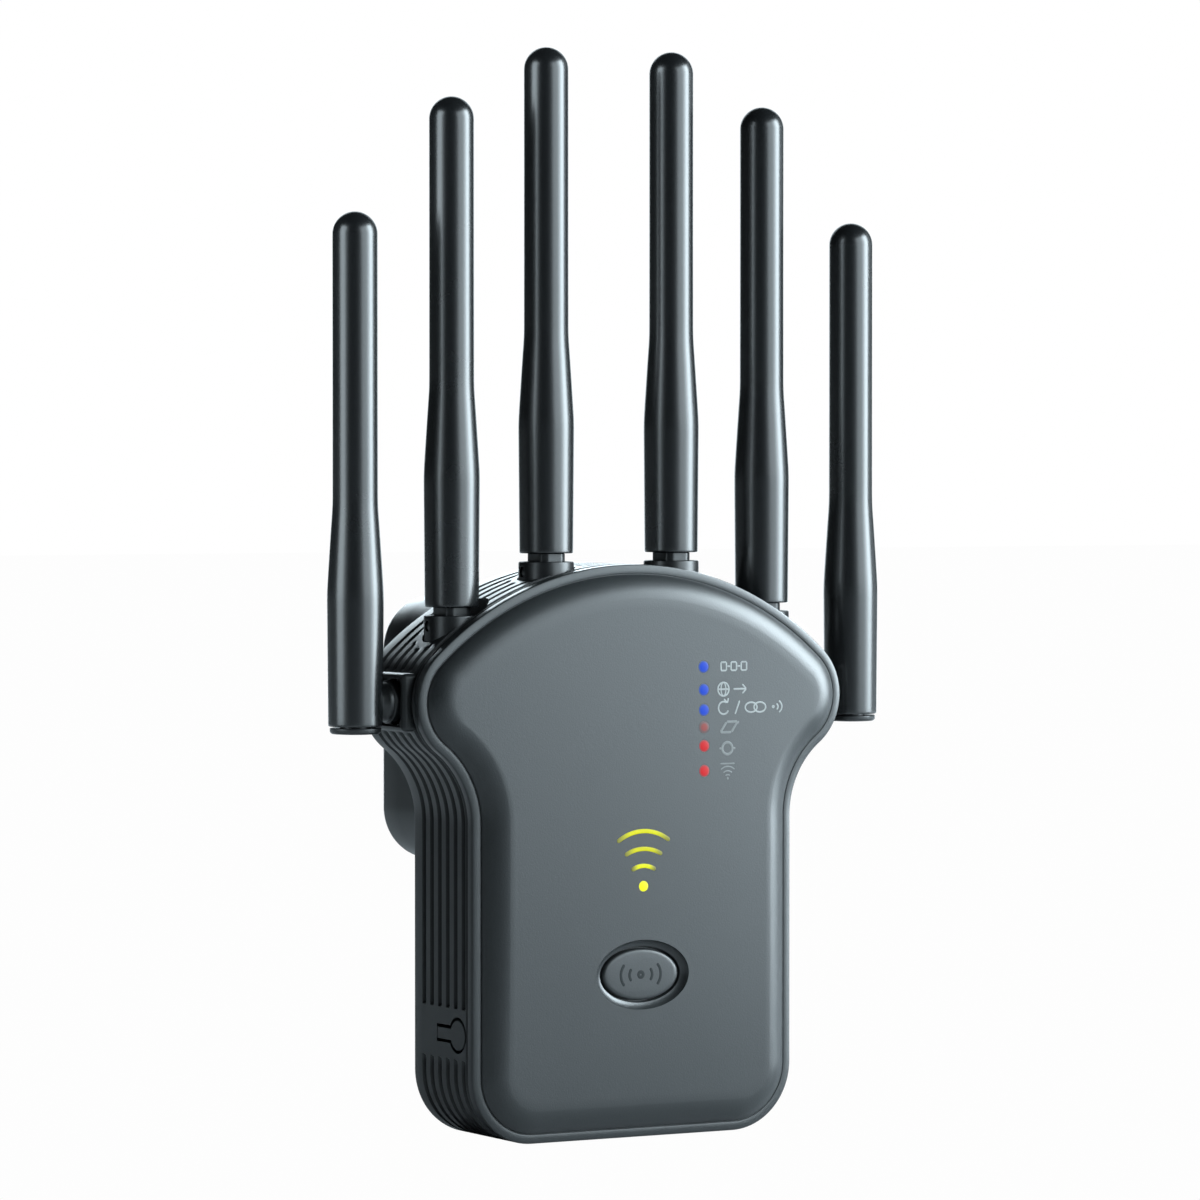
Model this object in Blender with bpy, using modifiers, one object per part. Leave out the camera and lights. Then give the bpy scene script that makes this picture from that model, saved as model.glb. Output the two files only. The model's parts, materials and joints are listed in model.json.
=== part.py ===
"""A wall-plug wifi range extender with six stick antennas, in metres, +Z up.

The origin is the middle of the flat face that meets the wall, on the plug's
centre line. The wall is towards +Y, so the front cover faces -Y.

Sizes below are in millimetres in the casing's own coordinates: x across, y back
from the flat ledge round the front cover, z up from the casing's bottom edge.
"""

import math

import bmesh
import bpy
from mathutils import Matrix, Vector

MM = 0.001
GAP = 0.3

# The casing from the front: a crown arc, a shoulder arc, a hollow waist arc, a
# straight side and a corner arc, each tangent to the next, and its mirror.
HEIGHT = 110.0
CROWN_R = 62.5
SHOULDER_HALF = 46.7
SHOULDER_R = 11.9
WAIST_R = 17.5
LOWER_HALF = 35.25
CORNER_R = 13.0

# The casing's depth, front to back.
COVER_WALL = 2.0
COVER_EDGE = 2.3
LEDGE = 2.1
BEVEL = 4.65
PLATEAU = 3.0
HOUSING_FRONT = COVER_EDGE + GAP
HOUSING_BACK = 23.7
WALL = 2.2
REAR_CHAMFER = 0.4

GROOVES = 6
GROOVE_FIRST = 3.05
GROOVE_PITCH = 3.17
GROOVE_WIDTH = 1.4
GROOVE_DEPTH = 0.9

# The plug block on the back and its two flat blades.
PLUG_Z = 77.0
PLUG_BACK = 55.0
PLUG_HALF = 26.0
PLUG_R = 10.5
PLUG_CHAMFER = 1.0
PLATE_THICK = 2.4
BLADE_SPACING = 12.7
BLADE_WIDE = 6.35
BLADE_THICK = 1.5
BLADE_OUT = 16.5

# Antennas. All six tubes are the same. The outer two hang on side mounts.
TUBE_LENGTH = 96.8
TIP_R = 4.25
FLARE_R = 5.35
FOOT_R = 5.15
BORE_R = 3.2
ANTENNA_Y = 9.83
TOP_X = 13.89, 34.45
TOP_SEAM_Z = 112.1, 102.07
SIDE_X = 55.05
SIDE_SEAM_Z = 79.85

# The top hinge, from its pivot: the tube's foot, the ears, the base's flange.
FOOT_UP = 3.6
EAR_UP = 2.0
BASE_R = 5.35
BASE_DOWN = 10.0
FLANGE_R = 6.2
FLANGE_THICK = 1.5
TONGUE_HALF = 2.7
TONGUE_R = 3.7
SHANK_R = 2.7
POCKET_HALF = 3.0, 4.1
POCKET_DEEP = 5.2
TRUNNION_R = 0.9
SLEEVE_R = 6.5
SLEEVE_BORE_R = 5.65
COLLAR_R = 8.2
RELIEF_R = 7.1
RELIEF_HALF = 6.2
RELIEF_UP = 1.5

# The side mount and the elbow that turns in it.
SIDE_PIVOT_Z = 84.3
MOUNT_OUT = 48.0
MOUNT_Y = 5.85
MOUNT_Z = 5.5
MOUNT_BORE_R = 4.45
BARREL_R = 4.1

# Front panel features: centres as x, z.
LIGHT_X = 13.6
LIGHT_Z = 90.2, 85.8, 81.9, 78.6, 75.0, 70.2
LIGHT_R = 1.1
ARC_ENDS = (2.3, 51.8, 52.4), (3.75, 54.7, 55.65), (5.45, 57.35, 59.05)
ARC_THICK = 0.8
DOT_Z = 48.5
DOT_R = 1.0
GUIDE_SET_BACK = 0.3
BUTTON_Z = 31.5
BUTTON_HALF = 8.4, 4.95
RECESS_HALF = 10.15, 6.65
RECESS_DEEP = 0.9

# The reset tongue in the left wall: head centre, and the neck's root behind it.
RESET_Y = 6.2
RESET_Z = 20.8
RESET_HEAD_R = 2.9
RESET_NECK_HALF = 1.15
RESET_ROOT_Y = 14.2
RESET_SLIT = 0.6
RESET_PAD_Z = 16.0, 25.8

# Inside.
BOARD_Y = 7.0
BOARD_THICK = 1.6
BOARD_HALF = 26.0
BOARD_Z = 5.0, 94.0
PORT_X = 9.5
PORT_SIZE = 16.0, 11.5, 18.0
SOCKET_SIZE = 11.9, 7.6, 14.0
POSTS = (36.0, 78.0), (28.9, 9.4)
POST_R = 2.6
SCREW_R = 1.2
SCREW_HEAD_R = 2.4
SCREW_LONG = 12.0
COAX_R = 0.65

ROUND = 16
FINE = 24


def point(x, y, z):
    """A casing point in millimetres as a world point in metres."""
    return Vector((x, y - PLUG_BACK, z - PLUG_Z)) * MM


# Materials and objects.

def material(name, colour, roughness, metallic=0.0):
    shade = bpy.data.materials.new(name)
    shade.use_nodes = True
    shader = shade.node_tree.nodes["Principled BSDF"]
    shader.inputs["Base Color"].default_value = (*colour, 1.0)
    shader.inputs["Roughness"].default_value = roughness
    shader.inputs["Metallic"].default_value = metallic
    return shade


def put(name, mesh, shade=None, place=None, parent=None):
    """An object in the parts collection, or a cutter when it has no material."""
    piece = bpy.data.objects.new(name, mesh)
    if shade is None:
        cutters.objects.link(piece)
        piece.hide_render = True
        piece.display_type = "WIRE"
    else:
        parts.objects.link(piece)
        piece.data.materials.append(shade)
    world = Matrix.Translation(place if place is not None else Vector())
    if parent is not None:
        piece.parent = parent
        world = parent_place(parent).inverted() @ world
    piece.location = world.to_translation()
    return piece


def parent_place(empty):
    """An empty's place in the world: empties here are only moved, never turned."""
    place = Matrix.Translation(empty.location)
    return parent_place(empty.parent) @ place if empty.parent else place


def pivot(name, place, parent=None):
    """An empty that stands on a joint's axis."""
    empty = bpy.data.objects.new(name, None)
    parts.objects.link(empty)
    empty.empty_display_size = 5 * MM
    if parent is not None:
        empty.parent = parent
        place = parent_place(parent).inverted() @ place
    empty.location = place
    return empty


def mesh_from(name, grid, smooth_angle=None):
    mesh = bpy.data.meshes.new(name)
    grid.to_mesh(mesh)
    grid.free()
    if smooth_angle is not None:
        mesh.shade_smooth()
        mesh.set_sharp_from_angle(angle=math.radians(smooth_angle))
    return mesh


def box_mesh(name, size):
    """A box of the given size in millimetres, centred on its origin."""
    grid = bmesh.new()
    bmesh.ops.create_cube(grid, size=1.0)
    bmesh.ops.scale(grid, vec=Vector(size) * MM, verts=grid.verts)
    return mesh_from(name, grid)


def rod_mesh(name, radius, length, axis="Z", sides=ROUND):
    """A cylinder centred on its origin, along the named axis."""
    turns = {"X": Matrix.Rotation(math.pi / 2, 3, "Y"), "Z": Matrix.Identity(3)}
    turns["Y"] = Matrix.Rotation(math.pi / 2, 3, "X")
    grid = bmesh.new()
    bmesh.ops.create_cone(
        grid, cap_ends=True, segments=sides,
        radius1=radius * MM, radius2=radius * MM, depth=length * MM,
    )
    bmesh.ops.rotate(grid, matrix=turns[axis], verts=grid.verts)
    return mesh_from(name, grid, smooth_angle=40)


def span(low, high):
    """The size and the middle of a box between two casing corners."""
    size = [b - a for a, b in zip(low, high)]
    middle = point(*[(a + b) / 2 for a, b in zip(low, high)])
    return size, middle


def box(name, low, high, shade=None, round_by=0.0):
    size, middle = span(low, high)
    piece = put(name, box_mesh(name, size), shade, middle)
    if round_by:
        edges = piece.modifiers.new("rounded edges", "BEVEL")
        edges.width = round_by * MM
        edges.segments = 2
    return piece


def rod(name, middle, radius, length, axis, shade=None, sides=ROUND):
    mesh = rod_mesh(name, radius, length, axis, sides)
    return put(name, mesh, shade, point(*middle))


def turned(name, profile, place, shade=None, parent=None, steps=ROUND):
    """A profile of radius and height, from its top down its outer side, spun round Z."""
    mesh = bpy.data.meshes.new(name)
    mesh.from_pydata(
        [(r * MM, 0.0, z * MM) for r, z in profile],
        [(i, i + 1) for i in range(len(profile) - 1)], [],
    )
    piece = put(name, mesh, shade, place, parent)
    spin = piece.modifiers.new("turned", "SCREW")
    spin.steps = spin.render_steps = steps
    spin.use_merge_vertices = True
    spin.merge_threshold = 0.00001
    spin.use_normal_calculate = False
    weld = piece.modifiers.new("poles", "WELD")
    weld.merge_threshold = 0.00001
    return piece


def lofted(name, rings, shade=None, close=(True, True)):
    """Rings of casing points with the same count, skinned one to the next."""
    grid = bmesh.new()
    rows = [[grid.verts.new(point(*spot)) for spot in ring] for ring in rings]
    count = len(rows[0])
    for near, far in zip(rows, rows[1:]):
        for i in range(count):
            j = (i + 1) % count
            grid.faces.new((near[i], near[j], far[j], far[i]))
    for wanted, row in zip(close, (rows[0], rows[-1])):
        if wanted:
            grid.faces.new(row)
    bmesh.ops.recalc_face_normals(grid, faces=grid.faces)
    return put(name, mesh_from(name, grid, smooth_angle=30), shade)


def change(piece, other, operation):
    step = piece.modifiers.new(other.name, "BOOLEAN")
    step.operation = operation
    step.object = other


def cut(piece, *others):
    for other in others:
        change(piece, other, "DIFFERENCE")


def join(piece, *others):
    for other in others:
        change(piece, other, "UNION")


# Outlines, as lists of x, z points.

def arc(centre, radius, start, end, steps):
    """Points on an arc between two angles in radians, both ends included."""
    turns = [start + (end - start) * i / steps for i in range(steps + 1)]
    return [
        (centre[0] + radius * math.cos(a), centre[1] + radius * math.sin(a))
        for a in turns
    ]


def casing_outline(inset=0.0):
    """The casing's front outline, set in by the same distance all round."""
    crown = (0.0, HEIGHT - CROWN_R)
    across = SHOULDER_HALF - SHOULDER_R
    shoulder = (across, crown[1] + math.sqrt((CROWN_R - SHOULDER_R) ** 2 - across**2))
    waist_x = LOWER_HALF + WAIST_R
    reach = waist_x - shoulder[0]
    waist = (waist_x, shoulder[1] - math.sqrt((SHOULDER_R + WAIST_R) ** 2 - reach**2))
    corner = (LOWER_HALF - CORNER_R, CORNER_R)
    top = math.atan2(shoulder[1] - crown[1], shoulder[0])
    low = math.atan2(waist[1] - shoulder[1], reach)
    half = arc(crown, CROWN_R - inset, math.pi / 2, top, 8)[:-1]
    half += arc(shoulder, SHOULDER_R - inset, top, low, 8)[:-1]
    half += arc(waist, WAIST_R + inset, low + math.pi, math.pi, 4)
    half += arc(corner, CORNER_R - inset, 0.0, -math.pi / 2, 5)
    return half + [(-x, z) for x, z in reversed(half[1:])]


def rounded_square(half, radius, middle_z):
    """A square with round corners, centred at x = 0."""
    flat = half - radius
    spots = []
    for quarter in range(4):
        start = quarter * math.pi / 2
        side_x = flat if quarter in (0, 3) else -flat
        side_z = middle_z + (flat if quarter in (0, 1) else -flat)
        spots += arc((side_x, side_z), radius, start, start + math.pi / 2, 5)
    return spots


def oval(half_x, half_z, middle_z, steps=FINE):
    turns = [2 * math.pi * i / steps for i in range(steps)]
    return [(half_x * math.cos(a), middle_z + half_z * math.sin(a)) for a in turns]


def layer(outline, y):
    return [(x, y, z) for x, z in outline]


def prism(name, outline, y_front, y_back, shade=None):
    return lofted(name, [layer(outline, y_front), layer(outline, y_back)], shade)


def arc_band(half_x, end_z, top_z, thick):
    """A curved bar through two low ends and a high middle, as a closed outline."""
    rise = top_z - end_z
    radius = (half_x**2 + rise**2) / (2 * rise)
    lean = math.asin(half_x / radius)
    centre = (0.0, top_z - radius)
    start, end = math.pi / 2 + lean, math.pi / 2 - lean
    outer = arc(centre, radius + thick / 2, start, end, 8)
    inner = arc(centre, radius - thick / 2, end, start, 8)
    return outer + inner


# The casing.

def front_cover():
    """A domed plate: a flat ledge, a round bevel and a raised panel."""
    edge = [(0.0, COVER_EDGE), (0.0, 0.0), (LEDGE, 0.0)]
    for step in (0.05, 0.2, 0.5, 1.0):
        height = math.sqrt(1.0 - (1.0 - step) ** 2)
        edge.append((LEDGE + BEVEL * step, -PLATEAU * height))
    rings = [layer(casing_outline(inset), y) for inset, y in edge]
    cover = lofted("front_cover", rings, casing_grey, close=(False, True))
    wall = cover.modifiers.new("wall", "SOLIDIFY")
    wall.thickness = COVER_WALL * MM
    wall.use_even_offset = True
    wall.offset = -1.0
    front, back = -PLATEAU - 1.0, 3.0
    for number, (x, z) in enumerate(post_centres(), 1):
        low, high = 0.5, HOUSING_BACK - WALL - GAP
        join(cover, rod(f"post_{number}", (x, (low + high) / 2, z), POST_R, high - low, "Y"))
        deep = high - 2.0
        hole = rod(f"post_hole_{number}", (x, (2.5 + high + 1) / 2, z),
                   SCREW_R + GAP, deep, "Y", sides=10)
        cut(cover, hole)
    for number, z in enumerate(LIGHT_Z, 1):
        cut(cover, rod(f"light_hole_{number}", (LIGHT_X, 0.0, z), LIGHT_R + GAP, 10.0, "Y", sides=12))
    for number, (half_x, end_z, top_z) in enumerate(ARC_ENDS, 1):
        band = arc_band(half_x + GAP, end_z, top_z, ARC_THICK + 2 * GAP)
        cut(cover, prism(f"arc_hole_{number}", band, front, back))
    cut(cover, rod("dot_hole", (0.0, 0.0, DOT_Z), DOT_R + GAP, 10.0, "Y", sides=12))
    hole = [half + GAP for half in BUTTON_HALF]
    cut(cover, prism("button_hole", oval(*hole, BUTTON_Z), front, back))
    wide = layer(oval(*RECESS_HALF, BUTTON_Z), -PLATEAU)
    above = layer(oval(*RECESS_HALF, BUTTON_Z), front)
    narrow = layer(oval(*hole, BUTTON_Z), -PLATEAU + RECESS_DEEP)
    cut(cover, lofted("button_recess", [above, wide, narrow]))


def post_centres():
    return [(side * x, z) for x, z in POSTS for side in (-1, 1)]


def rear_housing():
    """The ribbed rear casing with its back wall and the hollow plug block."""
    rings = [layer(casing_outline(), HOUSING_FRONT)]
    for number in range(GROOVES):
        middle = GROOVE_FIRST + GROOVE_PITCH * number + GROOVE_WIDTH / 2
        near, far = middle - GROOVE_WIDTH / 2, middle + GROOVE_WIDTH / 2
        rings += [layer(casing_outline(), near), layer(casing_outline(GROOVE_DEPTH), middle)]
        rings.append(layer(casing_outline(), far))
    rings.append(layer(casing_outline(), HOUSING_BACK - REAR_CHAMFER))
    rings.append(layer(casing_outline(REAR_CHAMFER), HOUSING_BACK))
    housing = lofted("rear_housing", rings, casing_grey)
    square = rounded_square(PLUG_HALF, PLUG_R, PLUG_Z)
    slim = rounded_square(PLUG_HALF - PLUG_CHAMFER, PLUG_R - PLUG_CHAMFER, PLUG_Z)
    block = [
        layer(square, HOUSING_BACK - 1.0),
        layer(square, PLUG_BACK - PLUG_CHAMFER),
        layer(slim, PLUG_BACK),
    ]
    join(housing, lofted("plug_block_outside", block))
    pads = []
    low, high = RESET_PAD_Z
    pads.append(box("reset_pad", (-LOWER_HALF, HOUSING_FRONT + 0.2, low), (-33.5, 20.2, high)))
    for side in (-1, 1):
        ends = sorted((side * 40.0, side * MOUNT_OUT))
        pads.append(box(
            f"side_mount_{side:+d}", (ends[0], ANTENNA_Y - MOUNT_Y, SIDE_PIVOT_Z - MOUNT_Z),
            (ends[1], ANTENNA_Y + MOUNT_Y, SIDE_PIVOT_Z + MOUNT_Z),
        ))
    join(housing, *pads)
    cut(housing, prism("inside", casing_outline(WALL), HOUSING_FRONT - 1, HOUSING_BACK - WALL))
    inner = rounded_square(PLUG_HALF - WALL, PLUG_R - WALL, PLUG_Z)
    cut(housing, prism("plug_block_inside", inner, HOUSING_BACK - WALL - 1, PLUG_BACK + 1))
    antenna_seats(housing)
    screw_holes(housing)
    port_openings(housing)
    reset_opening(housing)


def antenna_seats(housing):
    """Sleeves for the swivel bases on top, bores in the side mounts."""
    blank = casing_outline(1.0)
    for number, (x, seam) in enumerate(top_antennas(), 2):
        pivot_z = seam - FOOT_UP
        bottom = pivot_z - BASE_DOWN + GAP
        sleeve = rod(f"sleeve_{number}", (x, ANTENNA_Y, (bottom + HEIGHT) / 2),
                     SLEEVE_R, HEIGHT - bottom, "Z")
        limit = prism(f"sleeve_limit_{number}", blank, HOUSING_FRONT, HOUSING_BACK - 1.0)
        change(sleeve, limit, "INTERSECT")
        join(housing, sleeve)
        if abs(x) > TOP_X[0]:
            relieve(housing, number, x, pivot_z, blank)
        bore = rod(f"sleeve_bore_{number}", (x, ANTENNA_Y, (bottom + HEIGHT) / 2),
                   SLEEVE_BORE_R, HEIGHT - bottom + 10, "Z")
        cut(housing, bore)
    for side in (-1, 1):
        bore = rod(f"mount_bore_{side:+d}", (side * 44.0, ANTENNA_Y, SIDE_PIVOT_Z),
                   MOUNT_BORE_R, 12.0, "X")
        ends = sorted((side * (MOUNT_OUT - 1.2), side * (MOUNT_OUT + 1)))
        window = box(
            f"mount_window_{side:+d}", (ends[0], ANTENNA_Y - MOUNT_Y + 1.1, SIDE_PIVOT_Z - 4.6),
            (ends[1], ANTENNA_Y + MOUNT_Y - 1.1, SIDE_PIVOT_Z + 4.6),
        )
        cut(housing, bore, window)


def relieve(housing, number, x, pivot_z, blank):
    """A level shelf beside an outer top antenna, where the crown rises past its foot."""
    floor = pivot_z + RELIEF_UP
    low = floor - 2.3
    collar = rod(f"collar_{number}", (x, ANTENNA_Y, (low + HEIGHT) / 2), COLLAR_R, HEIGHT - low, "Z")
    limit = prism(f"collar_limit_{number}", blank, HOUSING_FRONT, HOUSING_BACK - 1.0)
    change(collar, limit, "INTERSECT")
    join(housing, collar)
    shelf = rod(f"shelf_{number}", (x, ANTENNA_Y, floor + 10.0), RELIEF_R, 20.0, "Z", sides=FINE)
    trim = box(
        f"shelf_limit_{number}", (x - 30.0, ANTENNA_Y - RELIEF_HALF, floor - 5.0),
        (x + 30.0, ANTENNA_Y + RELIEF_HALF, floor + 30.0),
    )
    change(shelf, trim, "INTERSECT")
    cut(housing, shelf)


def screw_holes(housing):
    for number, (x, z) in enumerate(post_centres(), 1):
        hole = rod(f"screw_hole_{number}", (x, HOUSING_BACK, z), SCREW_R + GAP, 8.0, "Y", sides=10)
        sink = rod(f"screw_sink_{number}", (x, HOUSING_BACK, z), SCREW_HEAD_R + GAP, 2.4, "Y", sides=12)
        cut(housing, hole, sink)


def port_openings(housing):
    wide, tall, _ = PORT_SIZE
    front = BOARD_Y + BOARD_THICK + GAP
    for side in (-1, 1):
        low = (side * PORT_X - wide / 2 - GAP, front - GAP, -1.0)
        high = (side * PORT_X + wide / 2 + GAP, front + tall + GAP, WALL + 1.0)
        cut(housing, box(f"port_opening_{side:+d}", low, high))


def keyhole(grow):
    """The reset tongue's outline as y, z points: a round head and a neck behind it."""
    head = RESET_HEAD_R + grow
    neck = RESET_NECK_HALF + grow
    lean = math.asin(neck / head)
    spots = [(RESET_Y + head * math.cos(a), RESET_Z + head * math.sin(a))
             for a in [lean + (2 * math.pi - 2 * lean) * i / 18 for i in range(19)]]
    back = RESET_ROOT_Y + (GAP if grow else 0.0)
    return spots + [(back, RESET_Z - neck), (back, RESET_Z + neck)]


def keyhole_block(name, grow, x_out, x_in, shade=None):
    rings = [[(x, y, z) for y, z in keyhole(grow)] for x in (x_out, x_in)]
    return lofted(name, rings, shade)


def reset_opening(housing):
    cut(housing, keyhole_block("reset_slit", RESET_SLIT, -LOWER_HALF - 1, -LOWER_HALF + WALL + 1))


def plug_parts():
    """The flat plate that closes the plug block, and two blades that pass through it."""
    half = PLUG_HALF - WALL - GAP
    outline = rounded_square(half, PLUG_R - WALL - GAP, PLUG_Z)
    plate = prism("plug_plate", outline, PLUG_BACK - PLATE_THICK, PLUG_BACK, casing_black)
    for name, side in (("left", -1), ("right", 1)):
        x = side * BLADE_SPACING / 2
        thick, wide = BLADE_THICK / 2, BLADE_WIDE / 2
        slot = box(
            f"blade_slot_{name}", (x - thick - GAP, PLUG_BACK - 5, PLUG_Z - wide - GAP),
            (x + thick + GAP, PLUG_BACK + 1, PLUG_Z + wide + GAP),
        )
        cut(plate, slot)
        box(
            f"plug_blade_{name}", (x - thick, PLUG_BACK - 7.5, PLUG_Z - wide),
            (x + thick, PLUG_BACK + BLADE_OUT, PLUG_Z + wide), nickel, round_by=0.4,
        )


def cover_screws():
    """Pan-head screws from the back, each with a six-sided socket."""
    profile = [
        (0, SCREW_LONG), (SCREW_R, SCREW_LONG), (SCREW_R, 0.9),
        (SCREW_HEAD_R, 0.7), (SCREW_HEAD_R, 0), (0, 0),
    ]
    back = HOUSING_BACK - GAP
    for number, (x, z) in enumerate(post_centres(), 1):
        head = turned(f"cover_screw_{number}", profile, point(x, back, z), nickel, steps=12)
        head.rotation_euler = (math.pi / 2, 0.0, 0.0)
        socket = rod(f"screw_socket_{number}", (x, back, z), 0.8, 1.0, "Y", sides=6)
        cut(head, socket)


# Buttons and lights.

def pairing_button():
    """An oval cap that slides in the cover, with a lip behind it and a stem."""
    press = pivot("pairing_button_slide", point(0.0, -PLATEAU + 0.7, BUTTON_Z))
    face = -PLATEAU + 0.7
    rings = [
        layer(oval(BUTTON_HALF[0] - 0.5, BUTTON_HALF[1] - 0.5, BUTTON_Z), face),
        layer(oval(*BUTTON_HALF, BUTTON_Z), face + 0.5),
        layer(oval(*BUTTON_HALF, BUTTON_Z), COVER_WALL - PLATEAU + GAP),
        layer(oval(BUTTON_HALF[0] + 1.0, BUTTON_HALF[1] + 1.0, BUTTON_Z), COVER_WALL - PLATEAU + GAP),
        layer(oval(BUTTON_HALF[0] + 1.0, BUTTON_HALF[1] + 1.0, BUTTON_Z), COVER_WALL - PLATEAU + 1.3),
    ]
    cap = lofted("pairing_button", rings, casing_grey)
    join(cap, rod("button_stem", (0.0, 1.1, BUTTON_Z), 1.6, 2.8, "Y", sides=12))
    keep_place(cap, press)


def keep_place(piece, parent):
    """Parents a piece without moving it, and puts its origin on the parent."""
    spot = parent_place(parent).to_translation()
    piece.data.transform(Matrix.Translation(-spot))
    piece.parent = parent
    piece.location = Vector()


def switches():
    """The tact switches behind the push button and behind the reset tongue."""
    back = BOARD_Y - GAP
    body = box(
        "pairing_switch", (-3.0, 3.6, BUTTON_Z - 3.0), (3.0, back, BUTTON_Z + 3.0), switch_black,
    )
    join(body, rod("pairing_plunger", (0.0, 3.6, BUTTON_Z), 1.5, 0.8, "Y", sides=12))
    box("reset_switch", (-32.2, 3.3, RESET_Z - 2.4), (-27.4, back, RESET_Z + 2.4), switch_black)


def reset_button():
    """The tongue that bends in when pressed, drawn as a piece of its own."""
    root = point(-LOWER_HALF + 0.8, RESET_ROOT_Y, RESET_Z)
    bend = pivot("reset_press_axis", root)
    tongue = keyhole_block("reset_button", 0.0, -LOWER_HALF, -LOWER_HALF + 1.6, casing_grey)
    keep_place(tongue, bend)


def light_guides():
    """Clear pieces that carry light to the panel: six pins on a bar, and the signal sign."""
    back = COVER_WALL - PLATEAU
    tip, root = GUIDE_SET_BACK - PLATEAU, back + 1.2
    middle, length = (tip + root) / 2, root - tip
    bar = box("status_light_guide", (LIGHT_X - 1.8, back + GAP, LIGHT_Z[-1] - 2.2),
              (LIGHT_X + 1.8, back + 2.0, LIGHT_Z[0] + 2.2), clear_guide)
    for number, z in enumerate(LIGHT_Z, 1):
        join(bar, rod(f"guide_pin_{number}", (LIGHT_X, middle, z), LIGHT_R, length, "Y", sides=12))
    plate = box("signal_light_guide", (-8.0, back + GAP, DOT_Z - 2.5), (8.0, back + 2.0, 61.5), clear_guide)
    for number, (half_x, end_z, top_z) in enumerate(ARC_ENDS, 1):
        band = arc_band(half_x, end_z, top_z, ARC_THICK)
        join(plate, prism(f"guide_arc_{number}", band, tip, root))
    join(plate, rod("guide_dot", (0.0, middle, DOT_Z), DOT_R, length, "Y", sides=12))


# Inside the casing.

def main_board():
    """The board with its processor, shield, finned heat sink and the two network sockets."""
    low, high = BOARD_Z
    back = BOARD_Y + BOARD_THICK
    box("main_board", (-BOARD_HALF, BOARD_Y, low), (BOARD_HALF, back, high), board_green)
    box("processor", (-7.0, BOARD_Y - 1.5, 58.0), (7.0, BOARD_Y - GAP, 72.0), switch_black)
    near = back + GAP
    box("radio_shield", (-13.0, near, 52.0), (13.0, near + 2.5, 78.0), tin, round_by=0.4)
    far = HOUSING_BACK - WALL - 1.0
    sink = box("heat_sink", (-13.0, near + 2.8, 52.0), (13.0, far, 78.0), aluminium)
    for number in range(4):
        x = -9.6 + 6.4 * number
        gap = box(f"fin_gap_{number + 1}", (x - 1.8, near + 4.3, 50.0), (x + 1.8, HOUSING_BACK, 80.0))
        cut(sink, gap)
    for name, side in (("wan", -1), ("lan", 1)):
        port(f"port_{name}", side * PORT_X, near)


def port(name, x, near):
    """A wired network socket, open at the bottom edge of the casing."""
    wide, tall, deep = PORT_SIZE
    base = 0.6
    body = box(name, (x - wide / 2, near, base), (x + wide / 2, near + tall, base + deep), tin)
    across, along, inward = SOCKET_SIZE
    low = near + 1.6
    high = low + along
    mouth, end = base - 1.0, base + inward
    cut(body, box(f"{name}_socket", (x - across / 2, low, mouth), (x + across / 2, high, end)))
    cut(body, box(f"{name}_latch", (x - 3.1, high - 0.5, mouth), (x + 3.1, high + 1.2, end)))


def power_parts():
    """The mains supply in the plug block, on a board behind the blades."""
    board = PLUG_BACK - 11.0
    box("power_board", (-20.0, board, PLUG_Z - 20.0), (20.0, board + 1.6, PLUG_Z + 20.0), board_green)
    front = board - GAP
    block = box(
        "transformer", (-9.0, front - 15.0, PLUG_Z - 4.0), (9.0, front, PLUG_Z + 14.0), tape_yellow,
    )
    core = box("transformer_core", (-11.0, front - 11.0, PLUG_Z + 1.0), (11.0, front - 4.0, PLUG_Z + 9.0))
    join(block, core)
    rod("bulk_capacitor", (13.5, front - 8.0, PLUG_Z - 12.5), 5.0, 16.0, "Y", can_black)
    rod("output_capacitor", (-14.5, front - 6.0, PLUG_Z - 12.0), 4.0, 12.0, "Y", can_black)
    middle = point(0.0, front - 3.5, PLUG_Z - 12.5)
    choke = turned("filter_choke", ring_profile(4.0, 1.6), middle, copper)
    choke.rotation_euler = (math.pi / 2, 0.0, 0.0)
    rod("fuse", (15.5, front - 3.0, PLUG_Z + 12.0), 2.0, 10.0, "Z", ceramic, sides=12)
    near = BOARD_Y + BOARD_THICK + GAP
    box("power_link", (-17.0, near, 44.0), (-10.0, BOARD_Y + 9.0, 48.0), ceramic)


def ring_profile(middle, radius, sides=8):
    """A circle away from the axis, for a ring turned round Z."""
    turns = [-2 * math.pi * i / sides for i in range(sides + 1)]
    return [(middle + radius * math.cos(a), radius * math.sin(a)) for a in turns]


# Antennas.

def top_antennas():
    """The four top antennas from left to right, as x and the height of the foot."""
    inner, outer = zip(TOP_X, TOP_SEAM_Z)
    left = [(-outer[0], outer[1]), (-inner[0], inner[1])]
    return left + [inner, outer]


def tube_profile():
    """The stick from its tip: a dome, a slim length, a flare, a fat foot, the bore."""
    dome = [(TIP_R * math.sin(a), TUBE_LENGTH - TIP_R + TIP_R * math.cos(a))
            for a in [math.pi / 2 * i / 4 for i in range(5)]]
    body = [
        (TIP_R, 41.6), (TIP_R + 0.35, 37.0), (FLARE_R - 0.3, 30.0), (FLARE_R, 25.2), (FOOT_R, 0.0),
    ]
    return dome + body + [(BORE_R, 0.0), (BORE_R, 84.0), (0.0, 84.0)]


def radiator(number, place, parent):
    turned(f"antenna_{number}_radiator", [(0, 78.0), (0.9, 78.0), (0.9, 12.0), (0, 12.0)],
           place, copper, parent, steps=8)


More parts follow.
